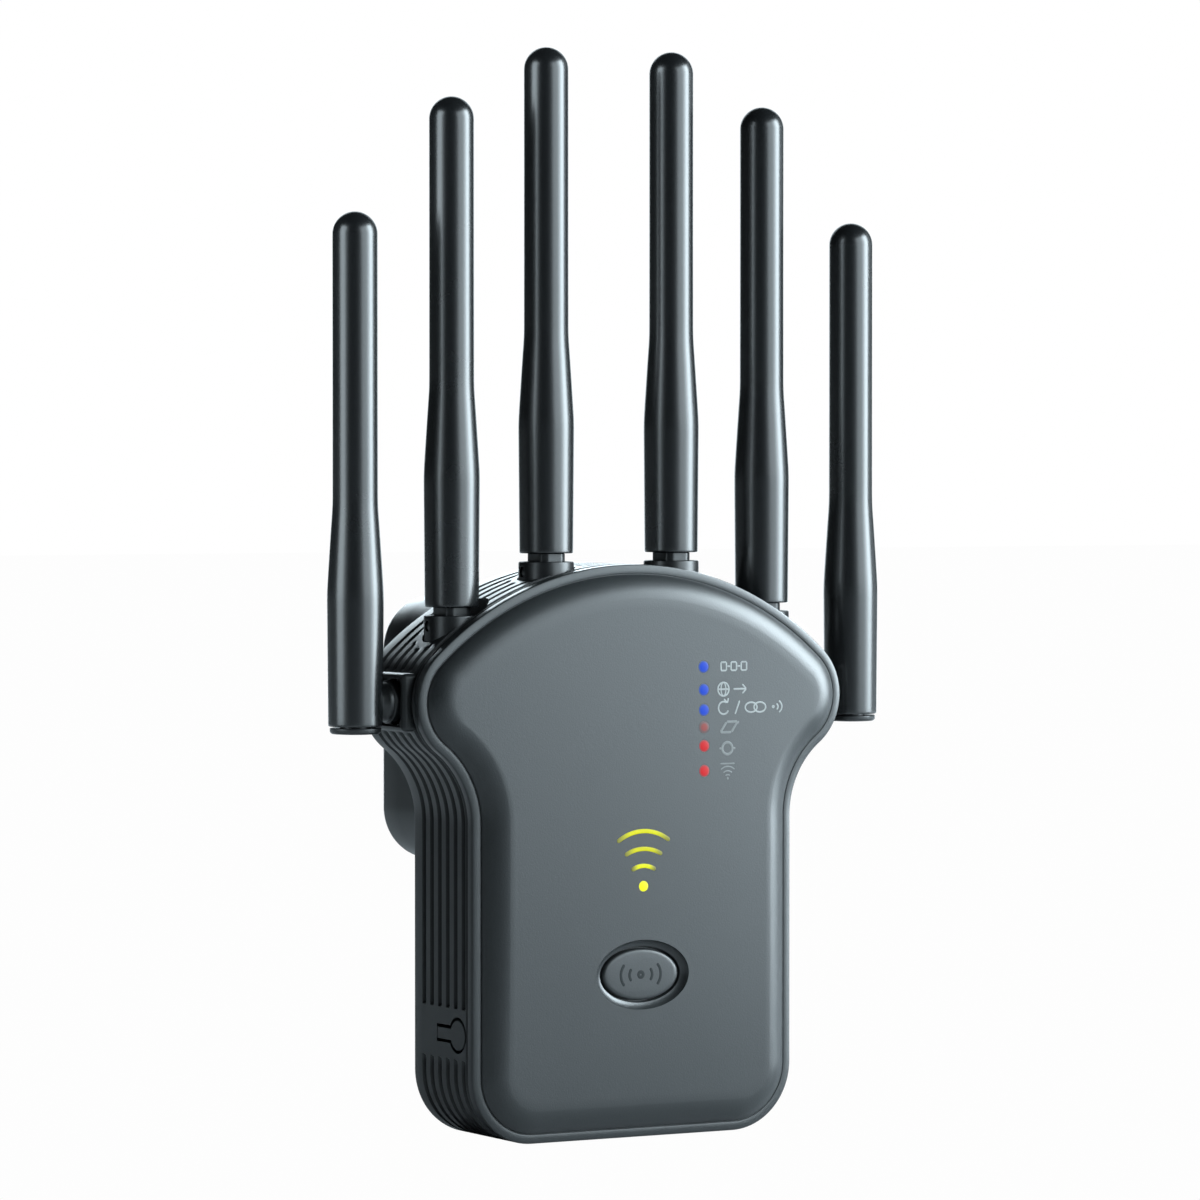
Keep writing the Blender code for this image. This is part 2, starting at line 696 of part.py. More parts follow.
def top_antenna(number, x, seam):
    """A seat that swivels in the case, and a stick whose tongue leans on a pin in its pocket."""
    pivot_z = seam - FOOT_UP
    swivel = pivot(f"antenna_{number}_swivel_axis", point(x, ANTENNA_Y, pivot_z - BASE_DOWN))
    tilt = pivot(f"antenna_{number}_tilt_axis", point(x, ANTENNA_Y, pivot_z), swivel)
    centre = point(x, ANTENNA_Y, pivot_z)
    foot = point(x, ANTENNA_Y, seam)

    base = turned(f"antenna_{number}_base", [
        (0, EAR_UP), (BASE_R, EAR_UP), (BASE_R, -BASE_DOWN), (FLANGE_R, -BASE_DOWN),
        (FLANGE_R, -BASE_DOWN - FLANGE_THICK), (0, -BASE_DOWN - FLANGE_THICK),
    ], centre, antenna_black, swivel)
    across, along = POCKET_HALF
    pocket = box(
        f"pocket_{number}", (x - across, ANTENNA_Y - along, pivot_z - POCKET_DEEP),
        (x + across, ANTENNA_Y + along, pivot_z + 5.0),
    )
    eye = rod(f"pivot_hole_{number}", (x, ANTENNA_Y, pivot_z), TRUNNION_R + GAP, 14.0, "X", sides=12)
    lead = rod(f"lead_hole_{number}", (x, ANTENNA_Y, pivot_z - 10), 1.6, 12.0, "Z", sides=10)
    cut(base, pocket, eye, lead)

    knuckle = turned(f"antenna_{number}_knuckle", [
        (0, FOOT_UP + 8.0), (SHANK_R, FOOT_UP + 8.0), (SHANK_R, FOOT_UP - GAP),
        (TONGUE_R, FOOT_UP - GAP), (TONGUE_R, -TONGUE_R), (0, -TONGUE_R),
    ], centre, antenna_black, tilt)
    change(knuckle, tombstone(f"tongue_limit_{number}", x, pivot_z), "INTERSECT")
    middle = (x, ANTENNA_Y, pivot_z)
    join(knuckle, rod(f"trunnion_{number}", middle, TRUNNION_R, 2 * (BASE_R - GAP), "X", sides=12))
    cut(knuckle, rod(f"knuckle_bore_{number}", middle, 0.6, 40.0, "Z", sides=8))

    turned(f"antenna_{number}_tube", tube_profile(), foot, antenna_black, tilt)
    radiator(number, foot, tilt)


def tombstone(name, x, pivot_z):
    """A block with a round lower end about the pivot, as wide as the tongue."""
    half = TONGUE_R - GAP
    low = arc((ANTENNA_Y, pivot_z), half, math.pi, 2 * math.pi, 8)
    outline = low + [(ANTENNA_Y + TONGUE_R, pivot_z + 14.0), (ANTENNA_Y - TONGUE_R, pivot_z + 14.0)]
    rings = [[(x + side * TONGUE_HALF, y, z) for y, z in outline] for side in (-1, 1)]
    return lofted(name, rings)


def side_antenna(number, side):
    """A stick with a closed foot, on an elbow that turns in the side mount."""
    x = side * SIDE_X
    swing = pivot(f"antenna_{number}_swing_axis", point(x, ANTENNA_Y, SIDE_PIVOT_Z))
    foot = point(x, ANTENNA_Y, SIDE_SEAM_Z)

    tube = turned(f"antenna_{number}_tube", tube_profile(), foot, antenna_black, swing)
    hole = (x - side * 4.0, ANTENNA_Y, SIDE_PIVOT_Z)
    cut(tube, rod(f"tube_side_hole_{number}", hole, 3.0 + GAP, 8.0, "X"))
    radiator(number, foot, swing)

    plug = BORE_R - GAP
    turned(f"antenna_{number}_end_cap", [
        (0, 0.9), (plug, 0.9), (plug, -GAP), (FOOT_R, -GAP),
        (FOOT_R, -1.1), (FOOT_R - 0.5, -1.5), (0, -1.5),
    ], foot, antenna_black, swing)

    elbow = turned(f"antenna_{number}_elbow", [(0, 7.5), (plug, 7.5), (plug, -3.1), (0, -3.1)],
                   point(x, ANTENNA_Y, SIDE_PIVOT_Z), antenna_black, swing)
    inward = -side
    barrel = [(3.0, 0.0, 7.0), (BARREL_R, 6.3, 12.6), (5.0, 12.45, 13.55)]
    for step, (radius, start, end) in enumerate(barrel, 1):
        middle = (x + inward * (start + end) / 2, ANTENNA_Y, SIDE_PIVOT_Z)
        join(elbow, rod(f"elbow_{number}_{step}", middle, radius, end - start, "X"))


def coax(number, route):
    """A thin lead from an antenna's seat to the main board, on one smooth curve."""
    lead = bpy.data.curves.new(f"antenna_{number}_coax", "CURVE")
    lead.dimensions = "3D"
    lead.bevel_depth = COAX_R * MM
    lead.bevel_resolution = 2
    lead.use_fill_caps = True
    spots = smooth_route([point(*spot) for spot in route])
    line = lead.splines.new("POLY")
    line.points.add(len(spots) - 1)
    for corner, spot in zip(line.points, spots):
        corner.co = (*spot, 1.0)
    piece = bpy.data.objects.new(f"antenna_{number}_coax", lead)
    lead.materials.append(coax_grey)
    parts.objects.link(piece)


def smooth_route(spots, steps=3):
    """A Catmull-Rom curve through the spots."""
    ends = [2 * spots[0] - spots[1], *spots, 2 * spots[-1] - spots[-2]]
    line = []
    for a, b, c, d in zip(ends, ends[1:], ends[2:], ends[3:]):
        for i in range(steps):
            t = i / steps
            line.append(0.5 * (2 * b + (c - a) * t + (2 * a - 5 * b + 4 * c - d) * t**2
                               + (3 * b - a - 3 * c + d) * t**3))
    return line + [spots[-1]]


def antennas():
    for number, (x, seam) in enumerate(top_antennas(), 2):
        top_antenna(number, x, seam)
    side_antenna(1, -1)
    side_antenna(6, 1)
    seat = BASE_DOWN + FLANGE_THICK + FOOT_UP + GAP
    for side, side_name, outer_name, inner_name in ((-1, 1, 2, 3), (1, 6, 5, 4)):
        low = TOP_SEAM_Z[0] - seat
        coax(inner_name, [(side * TOP_X[0], ANTENNA_Y, low), (side * 13.8, 10.2, low - 5.0),
                          (side * 13.2, 10.8, 87.0), (side * 11.5, 10.0, 82.5)])
        low = TOP_SEAM_Z[1] - seat
        coax(outer_name, [(side * TOP_X[1], ANTENNA_Y, low), (side * 33.4, 10.0, 83.8),
                          (side * 29.5, 10.6, 80.5), (side * 22.0, 10.4, 76.0), (side * 17.0, 9.7, 70.0)])
        coax(side_name, [(side * 41.0, ANTENNA_Y, SIDE_PIVOT_Z), (side * 38.4, 10.6, 84.2),
                         (side * 34.0, 13.6, 83.2), (side * 27.0, 14.4, 79.0),
                         (side * 20.0, 12.6, 70.0), (side * 17.5, 9.8, 61.0)])


# Build.

for old in list(bpy.data.objects):
    bpy.data.objects.remove(old)
parts = bpy.data.collections.new("wifi_range_extender")
cutters = bpy.data.collections.new("cutters")
bpy.context.scene.collection.children.link(parts)
bpy.context.scene.collection.children.link(cutters)

casing_grey = material("casing_grey", (0.12, 0.14, 0.15), 0.45)
casing_black = material("casing_black", (0.03, 0.032, 0.034), 0.5)
antenna_black = material("antenna_black", (0.018, 0.02, 0.021), 0.38)
clear_guide = material("clear_guide", (0.75, 0.78, 0.80), 0.2)
nickel = material("nickel", (0.62, 0.6, 0.57), 0.3, 1.0)
tin = material("tin", (0.6, 0.6, 0.6), 0.35, 1.0)
aluminium = material("aluminium", (0.55, 0.56, 0.58), 0.4, 1.0)
copper = material("copper", (0.7, 0.36, 0.2), 0.35, 1.0)
board_green = material("board_green", (0.03, 0.16, 0.07), 0.45)
switch_black = material("switch_black", (0.03, 0.03, 0.03), 0.5)
can_black = material("can_black", (0.04, 0.04, 0.06), 0.4)
tape_yellow = material("tape_yellow", (0.7, 0.5, 0.1), 0.5)
ceramic = material("ceramic", (0.75, 0.74, 0.7), 0.5)
coax_grey = material("coax_grey", (0.25, 0.25, 0.26), 0.5)

front_cover()
rear_housing()
plug_parts()
cover_screws()
pairing_button()
switches()
reset_button()
light_guides()
main_board()
power_parts()
antennas()
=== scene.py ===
# %% [markdown]
# # A wall-plug wifi range extender with six stick antennas
# The moving model is loaded first and never changes. Every visible piece below is a
# surface worked out with numpy in the casing's own millimetres, then tied to the body
# that it moves with.

import json
import math

import bmesh
import bpy
import numpy as np
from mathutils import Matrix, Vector


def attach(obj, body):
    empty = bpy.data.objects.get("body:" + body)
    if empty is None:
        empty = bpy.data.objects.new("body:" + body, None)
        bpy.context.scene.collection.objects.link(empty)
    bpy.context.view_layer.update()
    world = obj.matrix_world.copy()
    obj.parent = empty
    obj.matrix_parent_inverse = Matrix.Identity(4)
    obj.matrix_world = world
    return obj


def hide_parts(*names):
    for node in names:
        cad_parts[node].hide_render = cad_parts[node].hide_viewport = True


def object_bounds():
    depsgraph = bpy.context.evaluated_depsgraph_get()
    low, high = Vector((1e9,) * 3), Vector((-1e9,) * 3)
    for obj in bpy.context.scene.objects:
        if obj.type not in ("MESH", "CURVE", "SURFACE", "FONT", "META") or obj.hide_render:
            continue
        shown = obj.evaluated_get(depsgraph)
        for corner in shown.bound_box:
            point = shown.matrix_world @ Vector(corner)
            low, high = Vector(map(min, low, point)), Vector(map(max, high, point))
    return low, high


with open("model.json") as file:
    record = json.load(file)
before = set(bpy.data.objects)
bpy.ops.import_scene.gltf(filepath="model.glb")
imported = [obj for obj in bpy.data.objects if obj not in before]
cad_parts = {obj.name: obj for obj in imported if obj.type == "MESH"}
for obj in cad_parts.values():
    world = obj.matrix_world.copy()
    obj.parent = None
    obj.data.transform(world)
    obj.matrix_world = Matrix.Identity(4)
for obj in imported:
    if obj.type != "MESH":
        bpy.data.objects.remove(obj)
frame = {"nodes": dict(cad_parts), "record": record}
cad_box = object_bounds()

# %% [markdown]
# ## The ruler
# Sizes are in millimetres in the casing's own coordinates: x across, y back from the
# ledge round the front cover, z up from the bottom edge. One function turns them into
# the model's metres, whose origin is the middle of the plug's flat back.

# %% Casing millimetres to metres
MM = 0.001
PLUG_BACK, PLUG_Z = 55.0, 77.0


def place(points):
    """Subtract the origin of the plug's face, then scale millimetres to metres."""
    return (np.asarray(points, float) - (0.0, PLUG_BACK, PLUG_Z)) * MM


def between(low, high, value):
    """A smooth step: 0 below low, 1 above high, and 3t^2 - 2t^3 in between."""
    t = np.clip((value - low) / (high - low), 0.0, 1.0)
    return t * t * (3.0 - 2.0 * t)


# %% [markdown]
# ## Studio
# The object stands on a pale floor. The camera looks from the left, a little above the
# middle. Broad soft lights on the right give the panel its slow change of tone, and a
# backdrop behind draws the bright rims. The glossy sticks and the satin case need
# different strengths to look right together, so some lights are linked to the sticks
# alone and some to all but the sticks, which no real lamp can do. What the camera sees
# beyond the floor is white.

# %% Camera
scene = bpy.context.scene
scene.view_settings.view_transform = "Standard"

CAMERA_AT = (-0.54529, -0.99401, 0.05332)
CAMERA_TURN, CAMERA_RISE = -29.794, 1.433
CAMERA_LENS = 170.19


def heading(turn, rise):
    """The unit vector from the object towards a viewer: turn 0 is in front, 90 to the right."""
    a, e = math.radians(turn), math.radians(rise)
    return Vector((math.sin(a) * math.cos(e), -math.cos(a) * math.cos(e), math.sin(e)))


camera = bpy.data.objects.new("camera", bpy.data.cameras.new("camera"))
camera.data.lens = CAMERA_LENS
camera.data.sensor_width = 36.0
camera.data.clip_start = 0.02
camera.location = CAMERA_AT
camera.rotation_euler = heading(CAMERA_TURN, CAMERA_RISE).to_track_quat("Z", "Y").to_euler()
scene.collection.objects.link(camera)
scene.camera = camera

# %% Lights
MIDDLE = Vector((0.0, -0.035, 0.03))
COOL = (0.80, 0.93, 1.0)
LIGHTS = {
    # name: turn, rise, distance, width, height, power
    "key_left": (-2.0, 18.0, 1.0, 0.28, 0.80, 0.3),
    "key_wide": (37.0, 17.0, 1.0, 1.30, 0.80, 11.0),
    "key_middle": (56.0, 17.0, 0.98, 0.66, 0.80, 6.2),
    "key_bright": (66.0, 15.0, 0.96, 0.50, 0.75, 16.0),
    "key_sticks": (61.0, 15.0, 0.96, 0.40, 0.75, 6.5),
    "side": (94.0, 14.0, 1.0, 0.50, 0.80, 0.7),
    "backdrop": (150.0, 10.0, 1.0, 0.85, 0.90, 21.0),
    "rear": (150.0, 10.0, 1.0, 0.85, 0.90, 4.0),
    "left_soft": (-92.0, 12.0, 0.93, 0.60, 0.85, 0.4),
    "left_near": (-72.0, 12.0, 0.95, 0.20, 0.85, 0.4),
    "left_strip": (-92.0, 12.0, 0.95, 0.48, 0.85, 6.0),
}
STICKS_ONLY = ("key_sticks", "rear", "left_near", "left_strip")
CASE_ONLY = ("key_bright", "backdrop")
antenna_group = bpy.data.collections.new("antennas")
scene.collection.children.link(antenna_group)
all_but_antennas = bpy.data.collections.new("all_but_antennas")
all_but_antennas.children.link(antenna_group)
all_but_antennas.collection_children[0].light_linking.link_state = "EXCLUDE"
for name, (turn, rise, distance, wide, tall, power) in LIGHTS.items():
    lamp = bpy.data.lights.new(name, "AREA")
    lamp.shape = "RECTANGLE"
    lamp.size, lamp.size_y = wide, tall
    lamp.energy = power
    lamp.color = COOL
    light = bpy.data.objects.new(name, lamp)
    light.location = MIDDLE + heading(turn, rise) * distance
    light.rotation_euler = heading(turn, rise).to_track_quat("Z", "Y").to_euler()
    light.visible_camera = False
    scene.collection.objects.link(light)
    if name in STICKS_ONLY:
        light.light_linking.receiver_collection = antenna_group
    if name in CASE_ONLY:
        light.light_linking.receiver_collection = all_but_antennas
print("lights", len(LIGHTS))

# %% World
world = bpy.data.worlds.new("studio")
scene.world = world
world.use_nodes = True
sky = world.node_tree
sky.nodes.clear()
seen = sky.nodes.new("ShaderNodeBackground")
seen.inputs["Color"].default_value = (1.0, 1.0, 1.0, 1.0)
around = sky.nodes.new("ShaderNodeBackground")
around.inputs["Color"].default_value = (*COOL, 1.0)
around.inputs["Strength"].default_value = 0.03
ray = sky.nodes.new("ShaderNodeLightPath")
pick = sky.nodes.new("ShaderNodeMixShader")
sky_out = sky.nodes.new("ShaderNodeOutputWorld")
sky.links.new(ray.outputs["Is Camera Ray"], pick.inputs["Fac"])
sky.links.new(around.outputs[0], pick.inputs[1])
sky.links.new(seen.outputs[0], pick.inputs[2])
sky.links.new(pick.outputs[0], sky_out.inputs["Surface"])

# %% [markdown]
# ## Meshes from grids
# A shell is a grid of points whose columns run round the piece. Four neighbours make a
# quad, and the first and last rows are closed or joined to each other. Points that fall
# together, as at a pole, are merged, so each shell is closed.

# %% Shells


def shell(grid, join_ends=False):
    """Quads between neighbouring rows and columns; the end rows become caps unless joined."""
    rows, columns = grid.shape[:2]
    index = np.arange(rows * columns).reshape(rows, columns)
    caps = [] if join_ends else [index[0], index[-1]]
    if join_ends:
        index = np.vstack([index, index[:1]])
    beside = np.roll(index, -1, axis=1)
    quads = np.stack([index[:-1], beside[:-1], beside[1:], index[1:]], axis=-1)
    return grid.reshape(-1, 3), quads.reshape(-1, 4), caps


def closed_mesh(name, shells):
    """One mesh of several shells, with doubles merged and the faces turned outwards."""
    faces, start = [], 0
    for points, quads, caps in shells:
        faces += (quads + start).tolist() + [(cap + start).tolist() for cap in caps]
        start += len(points)
    mesh = bpy.data.meshes.new(name)
    mesh.from_pydata(place(np.vstack([points for points, _, _ in shells])), [], faces)
    work = bmesh.new()
    work.from_mesh(mesh)
    bmesh.ops.remove_doubles(work, verts=work.verts, dist=2e-6)
    bmesh.ops.dissolve_degenerate(work, edges=work.edges, dist=1e-6)
    bmesh.ops.recalc_face_normals(work, faces=work.faces)
    work.to_mesh(mesh)
    work.free()
    return mesh


def carve(piece, shells, operation="DIFFERENCE"):
    """An exact boolean of the piece with the shells, written into its mesh."""
    tool = bpy.data.objects.new("tool", closed_mesh("tool", shells))
    scene.collection.objects.link(tool)
    step = piece.modifiers.new("carve", "BOOLEAN")
    step.operation, step.object, step.solver = operation, tool, "EXACT"
    bpy.context.view_layer.update()
    seen_piece = piece.evaluated_get(bpy.context.evaluated_depsgraph_get())
    result = bpy.data.meshes.new_from_object(seen_piece)
    piece.modifiers.clear()
    piece.data = result
    bpy.data.objects.remove(tool)


def add(name, shells, shade, body, slot, replaced=(), sharp=38.0):
    """A piece: its mesh, its material, the body it moves with and what it stands for."""
    piece = bpy.data.objects.new(name, closed_mesh(name, shells))
    (antenna_group if slot == "antenna_black" else scene.collection).objects.link(piece)
    piece.data.materials.append(shade)
    shade_smooth(piece, sharp)
    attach(piece, body)
    if replaced:
        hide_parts(*replaced)
    return piece


def shade_smooth(piece, sharp):
    """Smooth shading that breaks where faces meet at more than the sharp angle."""
    piece.data.shade_smooth()
    piece.data.set_sharp_from_angle(angle=math.radians(sharp))


def soften(piece, width):
    """A small round on every edge sharper than forty degrees."""
    edges = piece.modifiers.new("soft edges", "BEVEL")
    edges.width = width * MM
    edges.segments = 2
    edges.limit_method = "ANGLE"
    edges.angle_limit = math.radians(40.0)
    edges.harden_normals = False


def turned(profile, centre, axis="Z", steps=64):
    """A profile of radius and height carried round an axis: radius times the unit circle."""
    profile = np.asarray(profile, float)
    turn = np.linspace(0.0, 2.0 * np.pi, steps, endpoint=False)
    a = profile[:, :1] * np.cos(turn)
    b = profile[:, :1] * np.sin(turn)
    along = np.repeat(profile[:, 1:], steps, axis=1)
    order = {"Z": (a, b, along), "Y": (a, along, b), "X": (along, a, b)}[axis]
    return shell(np.stack(order, axis=-1) + np.asarray(centre, float))


def prism(outline_xz, y_front, y_back):
    """An x, z outline carried straight back from one y to another."""
    return stack([(outline_xz, y_front), (outline_xz, y_back)])


def stack(layers):
    """Outlines in x and z, each at its own y, one skinned to the next."""
    rows = [np.column_stack([xz[:, 0], np.full(len(xz), y), xz[:, 1]]) for xz, y in layers]
    return shell(np.stack(rows))


def block(low, high):
    """A plain box for carving."""
    (x0, y0, z0), (x1, y1, z1) = low, high
    square = np.array([(x0, z0), (x1, z0), (x1, z1), (x0, z1)])
    return prism(square, y0, y1)


# %% [markdown]
# ## Plastic, metal and light
# The case is a dark plastic moulded in a fine spark-eroded mould: its colour hardly
# changes, but its surface has a grain a third of a millimetre across, and the gloss
# drifts a little where hands touch it. Two node groups carry that, one for the grain and
# one for the drift, and each plastic uses them with its own values.

# %% Node groups


def new_group(name, numbers, outputs):
    """An empty node group with a Vector input, named number inputs and named outputs."""
    group = bpy.data.node_groups.new(name, "ShaderNodeTree")
    group.interface.new_socket("Vector", in_out="INPUT", socket_type="NodeSocketVector")
    for label, value in numbers.items():
        made = group.interface.new_socket(label, in_out="INPUT", socket_type="NodeSocketFloat")
        made.default_value = value
    for label in outputs:
        group.interface.new_socket(label, in_out="OUTPUT", socket_type="NodeSocketFloat")
    return group, group.nodes.new("NodeGroupInput"), group.nodes.new("NodeGroupOutput")


def noise(tree, vector, scale, detail=2.0, roughness=0.5):
    """A noise texture; its scale is a number or a socket."""
    node = tree.nodes.new("ShaderNodeTexNoise")
    node.inputs["Detail"].default_value = detail
    node.inputs["Roughness"].default_value = roughness
    tree.links.new(vector, node.inputs["Vector"])
    feed(tree, scale, node.inputs["Scale"])
    return node.outputs["Fac"]


def feed(tree, value, socket):
    """Links a socket, or sets a plain number."""
    if isinstance(value, (int, float)):
        socket.default_value = value
    else:
        tree.links.new(value, socket)


def reckon(tree, operation, a, b=0.0, c=0.0, clamp=False):
    """A math node on two or three values."""
    node = tree.nodes.new("ShaderNodeMath")
    node.operation = operation
    node.use_clamp = clamp
    for value, socket in zip((a, b, c), node.inputs):
        feed(tree, value, socket)
    return node.outputs[0]


def moulded_grain():
    """Grain = 0.6 of a noise at Size and 0.4 of one at 2.3 times Size."""
    group, given, out = new_group("moulded_grain", {"Size": 3200.0}, ["Grain"])
    vector = given.outputs["Vector"]
    coarse = noise(group, vector, given.outputs["Size"], 1.0)
    fine = noise(group, vector, reckon(group, "MULTIPLY", given.outputs["Size"], 2.3), 1.0)
    both = reckon(group, "ADD", reckon(group, "MULTIPLY", coarse, 0.6), reckon(group, "MULTIPLY", fine, 0.4))
    group.links.new(both, out.inputs["Grain"])
    return group


def handled_gloss():
    """Gloss drift = broad soft noise and faint smears, as an amount about 0."""
    group, given, out = new_group("handled_gloss", {"Amount": 0.05}, ["Drift"])
    vector = given.outputs["Vector"]
    broad = noise(group, vector, 38.0, 2.0)
    smear = noise(group, vector, 260.0, 3.0, 0.6)
    both = reckon(group, "ADD", reckon(group, "MULTIPLY", broad, 0.7), reckon(group, "MULTIPLY", smear, 0.3))
    drift = reckon(group, "MULTIPLY", reckon(group, "SUBTRACT", both, 0.5), given.outputs["Amount"])
    group.links.new(drift, out.inputs["Drift"])
    return group


GRAIN, GLOSS = moulded_grain(), handled_gloss()


def start(name):
    """A new material: its tree, its shader and the object's own coordinates."""
    shade = bpy.data.materials.new(name)
    shade.use_nodes = True
    tree = shade.node_tree
    where = tree.nodes.new("ShaderNodeTexCoord").outputs["Object"]
    return shade, tree, tree.nodes["Principled BSDF"], where


def use(tree, group, vector, **numbers):
    """Places a node group and gives it its values."""
    node = tree.nodes.new("ShaderNodeGroup")
    node.node_tree = group
    tree.links.new(vector, node.inputs["Vector"])
    for label, value in numbers.items():
        node.inputs[label].default_value = value
    return node.outputs


def mix(tree, factor, low, high):
    """A colour between two colours."""
    node = tree.nodes.new("ShaderNodeMix")
    node.data_type = "RGBA"
    feed(tree, factor, node.inputs[0])
    for colour, socket in ((low, node.inputs[6]), (high, node.inputs[7])):
        if isinstance(colour, tuple):
            socket.default_value = (*colour, 1.0)
        else:
            tree.links.new(colour, socket)
    return node.outputs[2]


def bump(tree, shader, height, distance, strength=1.0):
    """A bump whose height is in metres, on the shader's normal."""
    node = tree.nodes.new("ShaderNodeBump")
    node.inputs["Distance"].default_value = distance
    node.inputs["Strength"].default_value = strength
    tree.links.new(height, node.inputs["Height"])
    tree.links.new(node.outputs[0], shader.inputs["Normal"])


def plastic(name, dark, light, rough, grain=3200.0, depth=0.00001, specular=0.5, drift=0.05):
    """A moulded plastic: grain in colour and bump, a drifting gloss."""
    shade, tree, shader, where = start(name)
    speck = use(tree, GRAIN, where, Size=grain)["Grain"]
    tree.links.new(mix(tree, speck, dark, light), shader.inputs["Base Color"])
    gloss = use(tree, GLOSS, where, Amount=drift)
    rough_now = reckon(tree, "ADD", gloss["Drift"], rough, clamp=True)
    tree.links.new(rough_now, shader.inputs["Roughness"])
    shader.inputs["Specular IOR Level"].default_value = specular
    bump(tree, shader, speck, depth)
    return shade


case_grey = plastic("case_grey", (0.014, 0.016, 0.017), (0.026, 0.028, 0.029), 0.34,
                    depth=0.000022, specular=0.62)
rib_grey = plastic("rib_grey", (0.012, 0.013, 0.0135), (0.022, 0.024, 0.0245), 0.42, specular=0.5)
stick_black = plastic("stick_black", (0.006, 0.0068, 0.0072), (0.010, 0.011, 0.012), 0.27,
                      grain=5200.0, depth=0.000003, specular=0.9, drift=0.03)
joint_black = plastic("joint_black", (0.007, 0.008, 0.0085), (0.012, 0.013, 0.014), 0.34,
                      grain=4200.0, depth=0.000006, specular=0.7)
plug_black = plastic("plug_black", (0.016, 0.018, 0.019), (0.027, 0.030, 0.031), 0.55, grain=2600.0)


# %% [markdown]
# Metal parts are plated or extruded, so they show fine straight marks. The marks are a
# noise stretched along one axis, and they move both the gloss and a very small bump.

# %% Metals


def drawn_marks():
    """Marks = noise on coordinates squeezed along one axis, so that it runs in lines."""
    group, given, out = new_group("drawn_marks", {"Size": 900.0, "Stretch": 0.04}, ["Height"])
    squeeze = group.nodes.new("ShaderNodeCombineXYZ")
    squeeze.inputs[0].default_value = 1.0
    squeeze.inputs[1].default_value = 1.0
    group.links.new(given.outputs["Stretch"], squeeze.inputs[2])
    scaled = group.nodes.new("ShaderNodeVectorMath")
    scaled.operation = "MULTIPLY"
    group.links.new(given.outputs["Vector"], scaled.inputs[0])
    group.links.new(squeeze.outputs[0], scaled.inputs[1])
    group.links.new(noise(group, scaled.outputs[0], given.outputs["Size"], 3.0, 0.6), out.inputs["Height"])
    return group


MARKS = drawn_marks()


def metal(name, dark, light, rough, size=900.0, stretch=0.04, depth=0.000004):
    """A plated or drawn metal with straight marks."""
    shade, tree, shader, where = start(name)
    lines = use(tree, MARKS, where, Size=size, Stretch=stretch)
    tree.links.new(mix(tree, lines["Height"], dark, light), shader.inputs["Base Color"])
    gloss = use(tree, GLOSS, where, Amount=0.12)
    spread = reckon(tree, "MULTIPLY_ADD", lines["Height"], 0.12, rough - 0.06)
    tree.links.new(reckon(tree, "ADD", gloss["Drift"], spread, clamp=True), shader.inputs["Roughness"])
    shader.inputs["Metallic"].default_value = 1.0
    bump(tree, shader, lines["Height"], depth)
    return shade


nickel = metal("nickel_plate", (0.52, 0.50, 0.46), (0.68, 0.66, 0.62), 0.24)
tin = metal("tin_plate", (0.48, 0.48, 0.49), (0.62, 0.62, 0.63), 0.34, stretch=0.5)
aluminium = metal("extruded_aluminium", (0.50, 0.51, 0.53), (0.66, 0.67, 0.69), 0.36, size=1400.0)
copper = metal("bare_copper", (0.60, 0.28, 0.16), (0.78, 0.42, 0.26), 0.3, stretch=1.0)
gold = metal("gold_contact", (0.75, 0.52, 0.20), (0.90, 0.68, 0.32), 0.22)

# %% [markdown]
# The lit pieces glow evenly in the middle and fall off towards their rim, because the
# clear plug in each hole spreads the light of the lamp behind it. The glow is a soft
# disc worked out from the distance to the piece's own middle.

# %% Lit pieces


def glow(name, centre, reach, bright, edge, power, soft=0.35):
    """Emission that fades from bright to edge with the distance from the middle in x and z."""
    shade, tree, shader, where = start(name)
    middle = tree.nodes.new("ShaderNodeVectorMath")
    middle.operation = "SUBTRACT"
    tree.links.new(where, middle.inputs[0])
    middle.inputs[1].default_value = tuple(place(centre))
    flat = tree.nodes.new("ShaderNodeVectorMath")
    flat.operation = "MULTIPLY"
    tree.links.new(middle.outputs[0], flat.inputs[0])
    flat.inputs[1].default_value = (1.0, 0.0, 1.0)
    far = tree.nodes.new("ShaderNodeVectorMath")
    far.operation = "LENGTH"
    tree.links.new(flat.outputs[0], far.inputs[0])
    fade = tree.nodes.new("ShaderNodeMapRange")
    fade.interpolation_type = "SMOOTHSTEP"
    fade.inputs["From Min"].default_value = reach * MM * soft
    fade.inputs["From Max"].default_value = reach * MM
    tree.links.new(far.outputs["Value"], fade.inputs["Value"])
    speck = use(tree, GRAIN, where, Size=2500.0)["Grain"]
    uneven = mix(tree, reckon(tree, "MULTIPLY", speck, 0.25), bright, edge)
    colour = mix(tree, fade.outputs[0], uneven, edge)
    tree.links.new(colour, shader.inputs["Emission Color"])
    tree.links.new(mix(tree, fade.outputs[0], tuple(0.1 * c for c in bright), (0.03, 0.03, 0.03)),
                   shader.inputs["Base Color"])
    shader.inputs["Emission Strength"].default_value = power
    shader.inputs["Roughness"].default_value = 0.45
    shader.inputs["Specular IOR Level"].default_value = 0.2
    return shade


def linear(*tone):
    """Screen tones of 0 to 255 as the linear numbers that shaders use."""
    t = np.array(tone) / 255.0
    return tuple(float(v) for v in np.where(t <= 0.04045, t / 12.92, ((t + 0.055) / 1.055) ** 2.4))


ink = plastic("pad_print", (0.19, 0.20, 0.195), (0.34, 0.35, 0.34), 0.6, grain=2600.0, specular=0.3)
ink_dim = plastic("pad_print_dim", (0.11, 0.115, 0.115), (0.20, 0.205, 0.20), 0.6,
                  grain=2600.0, specular=0.3)
mark_dark = plastic("button_print", (0.010, 0.012, 0.013), (0.018, 0.020, 0.021), 0.6, specular=0.2)

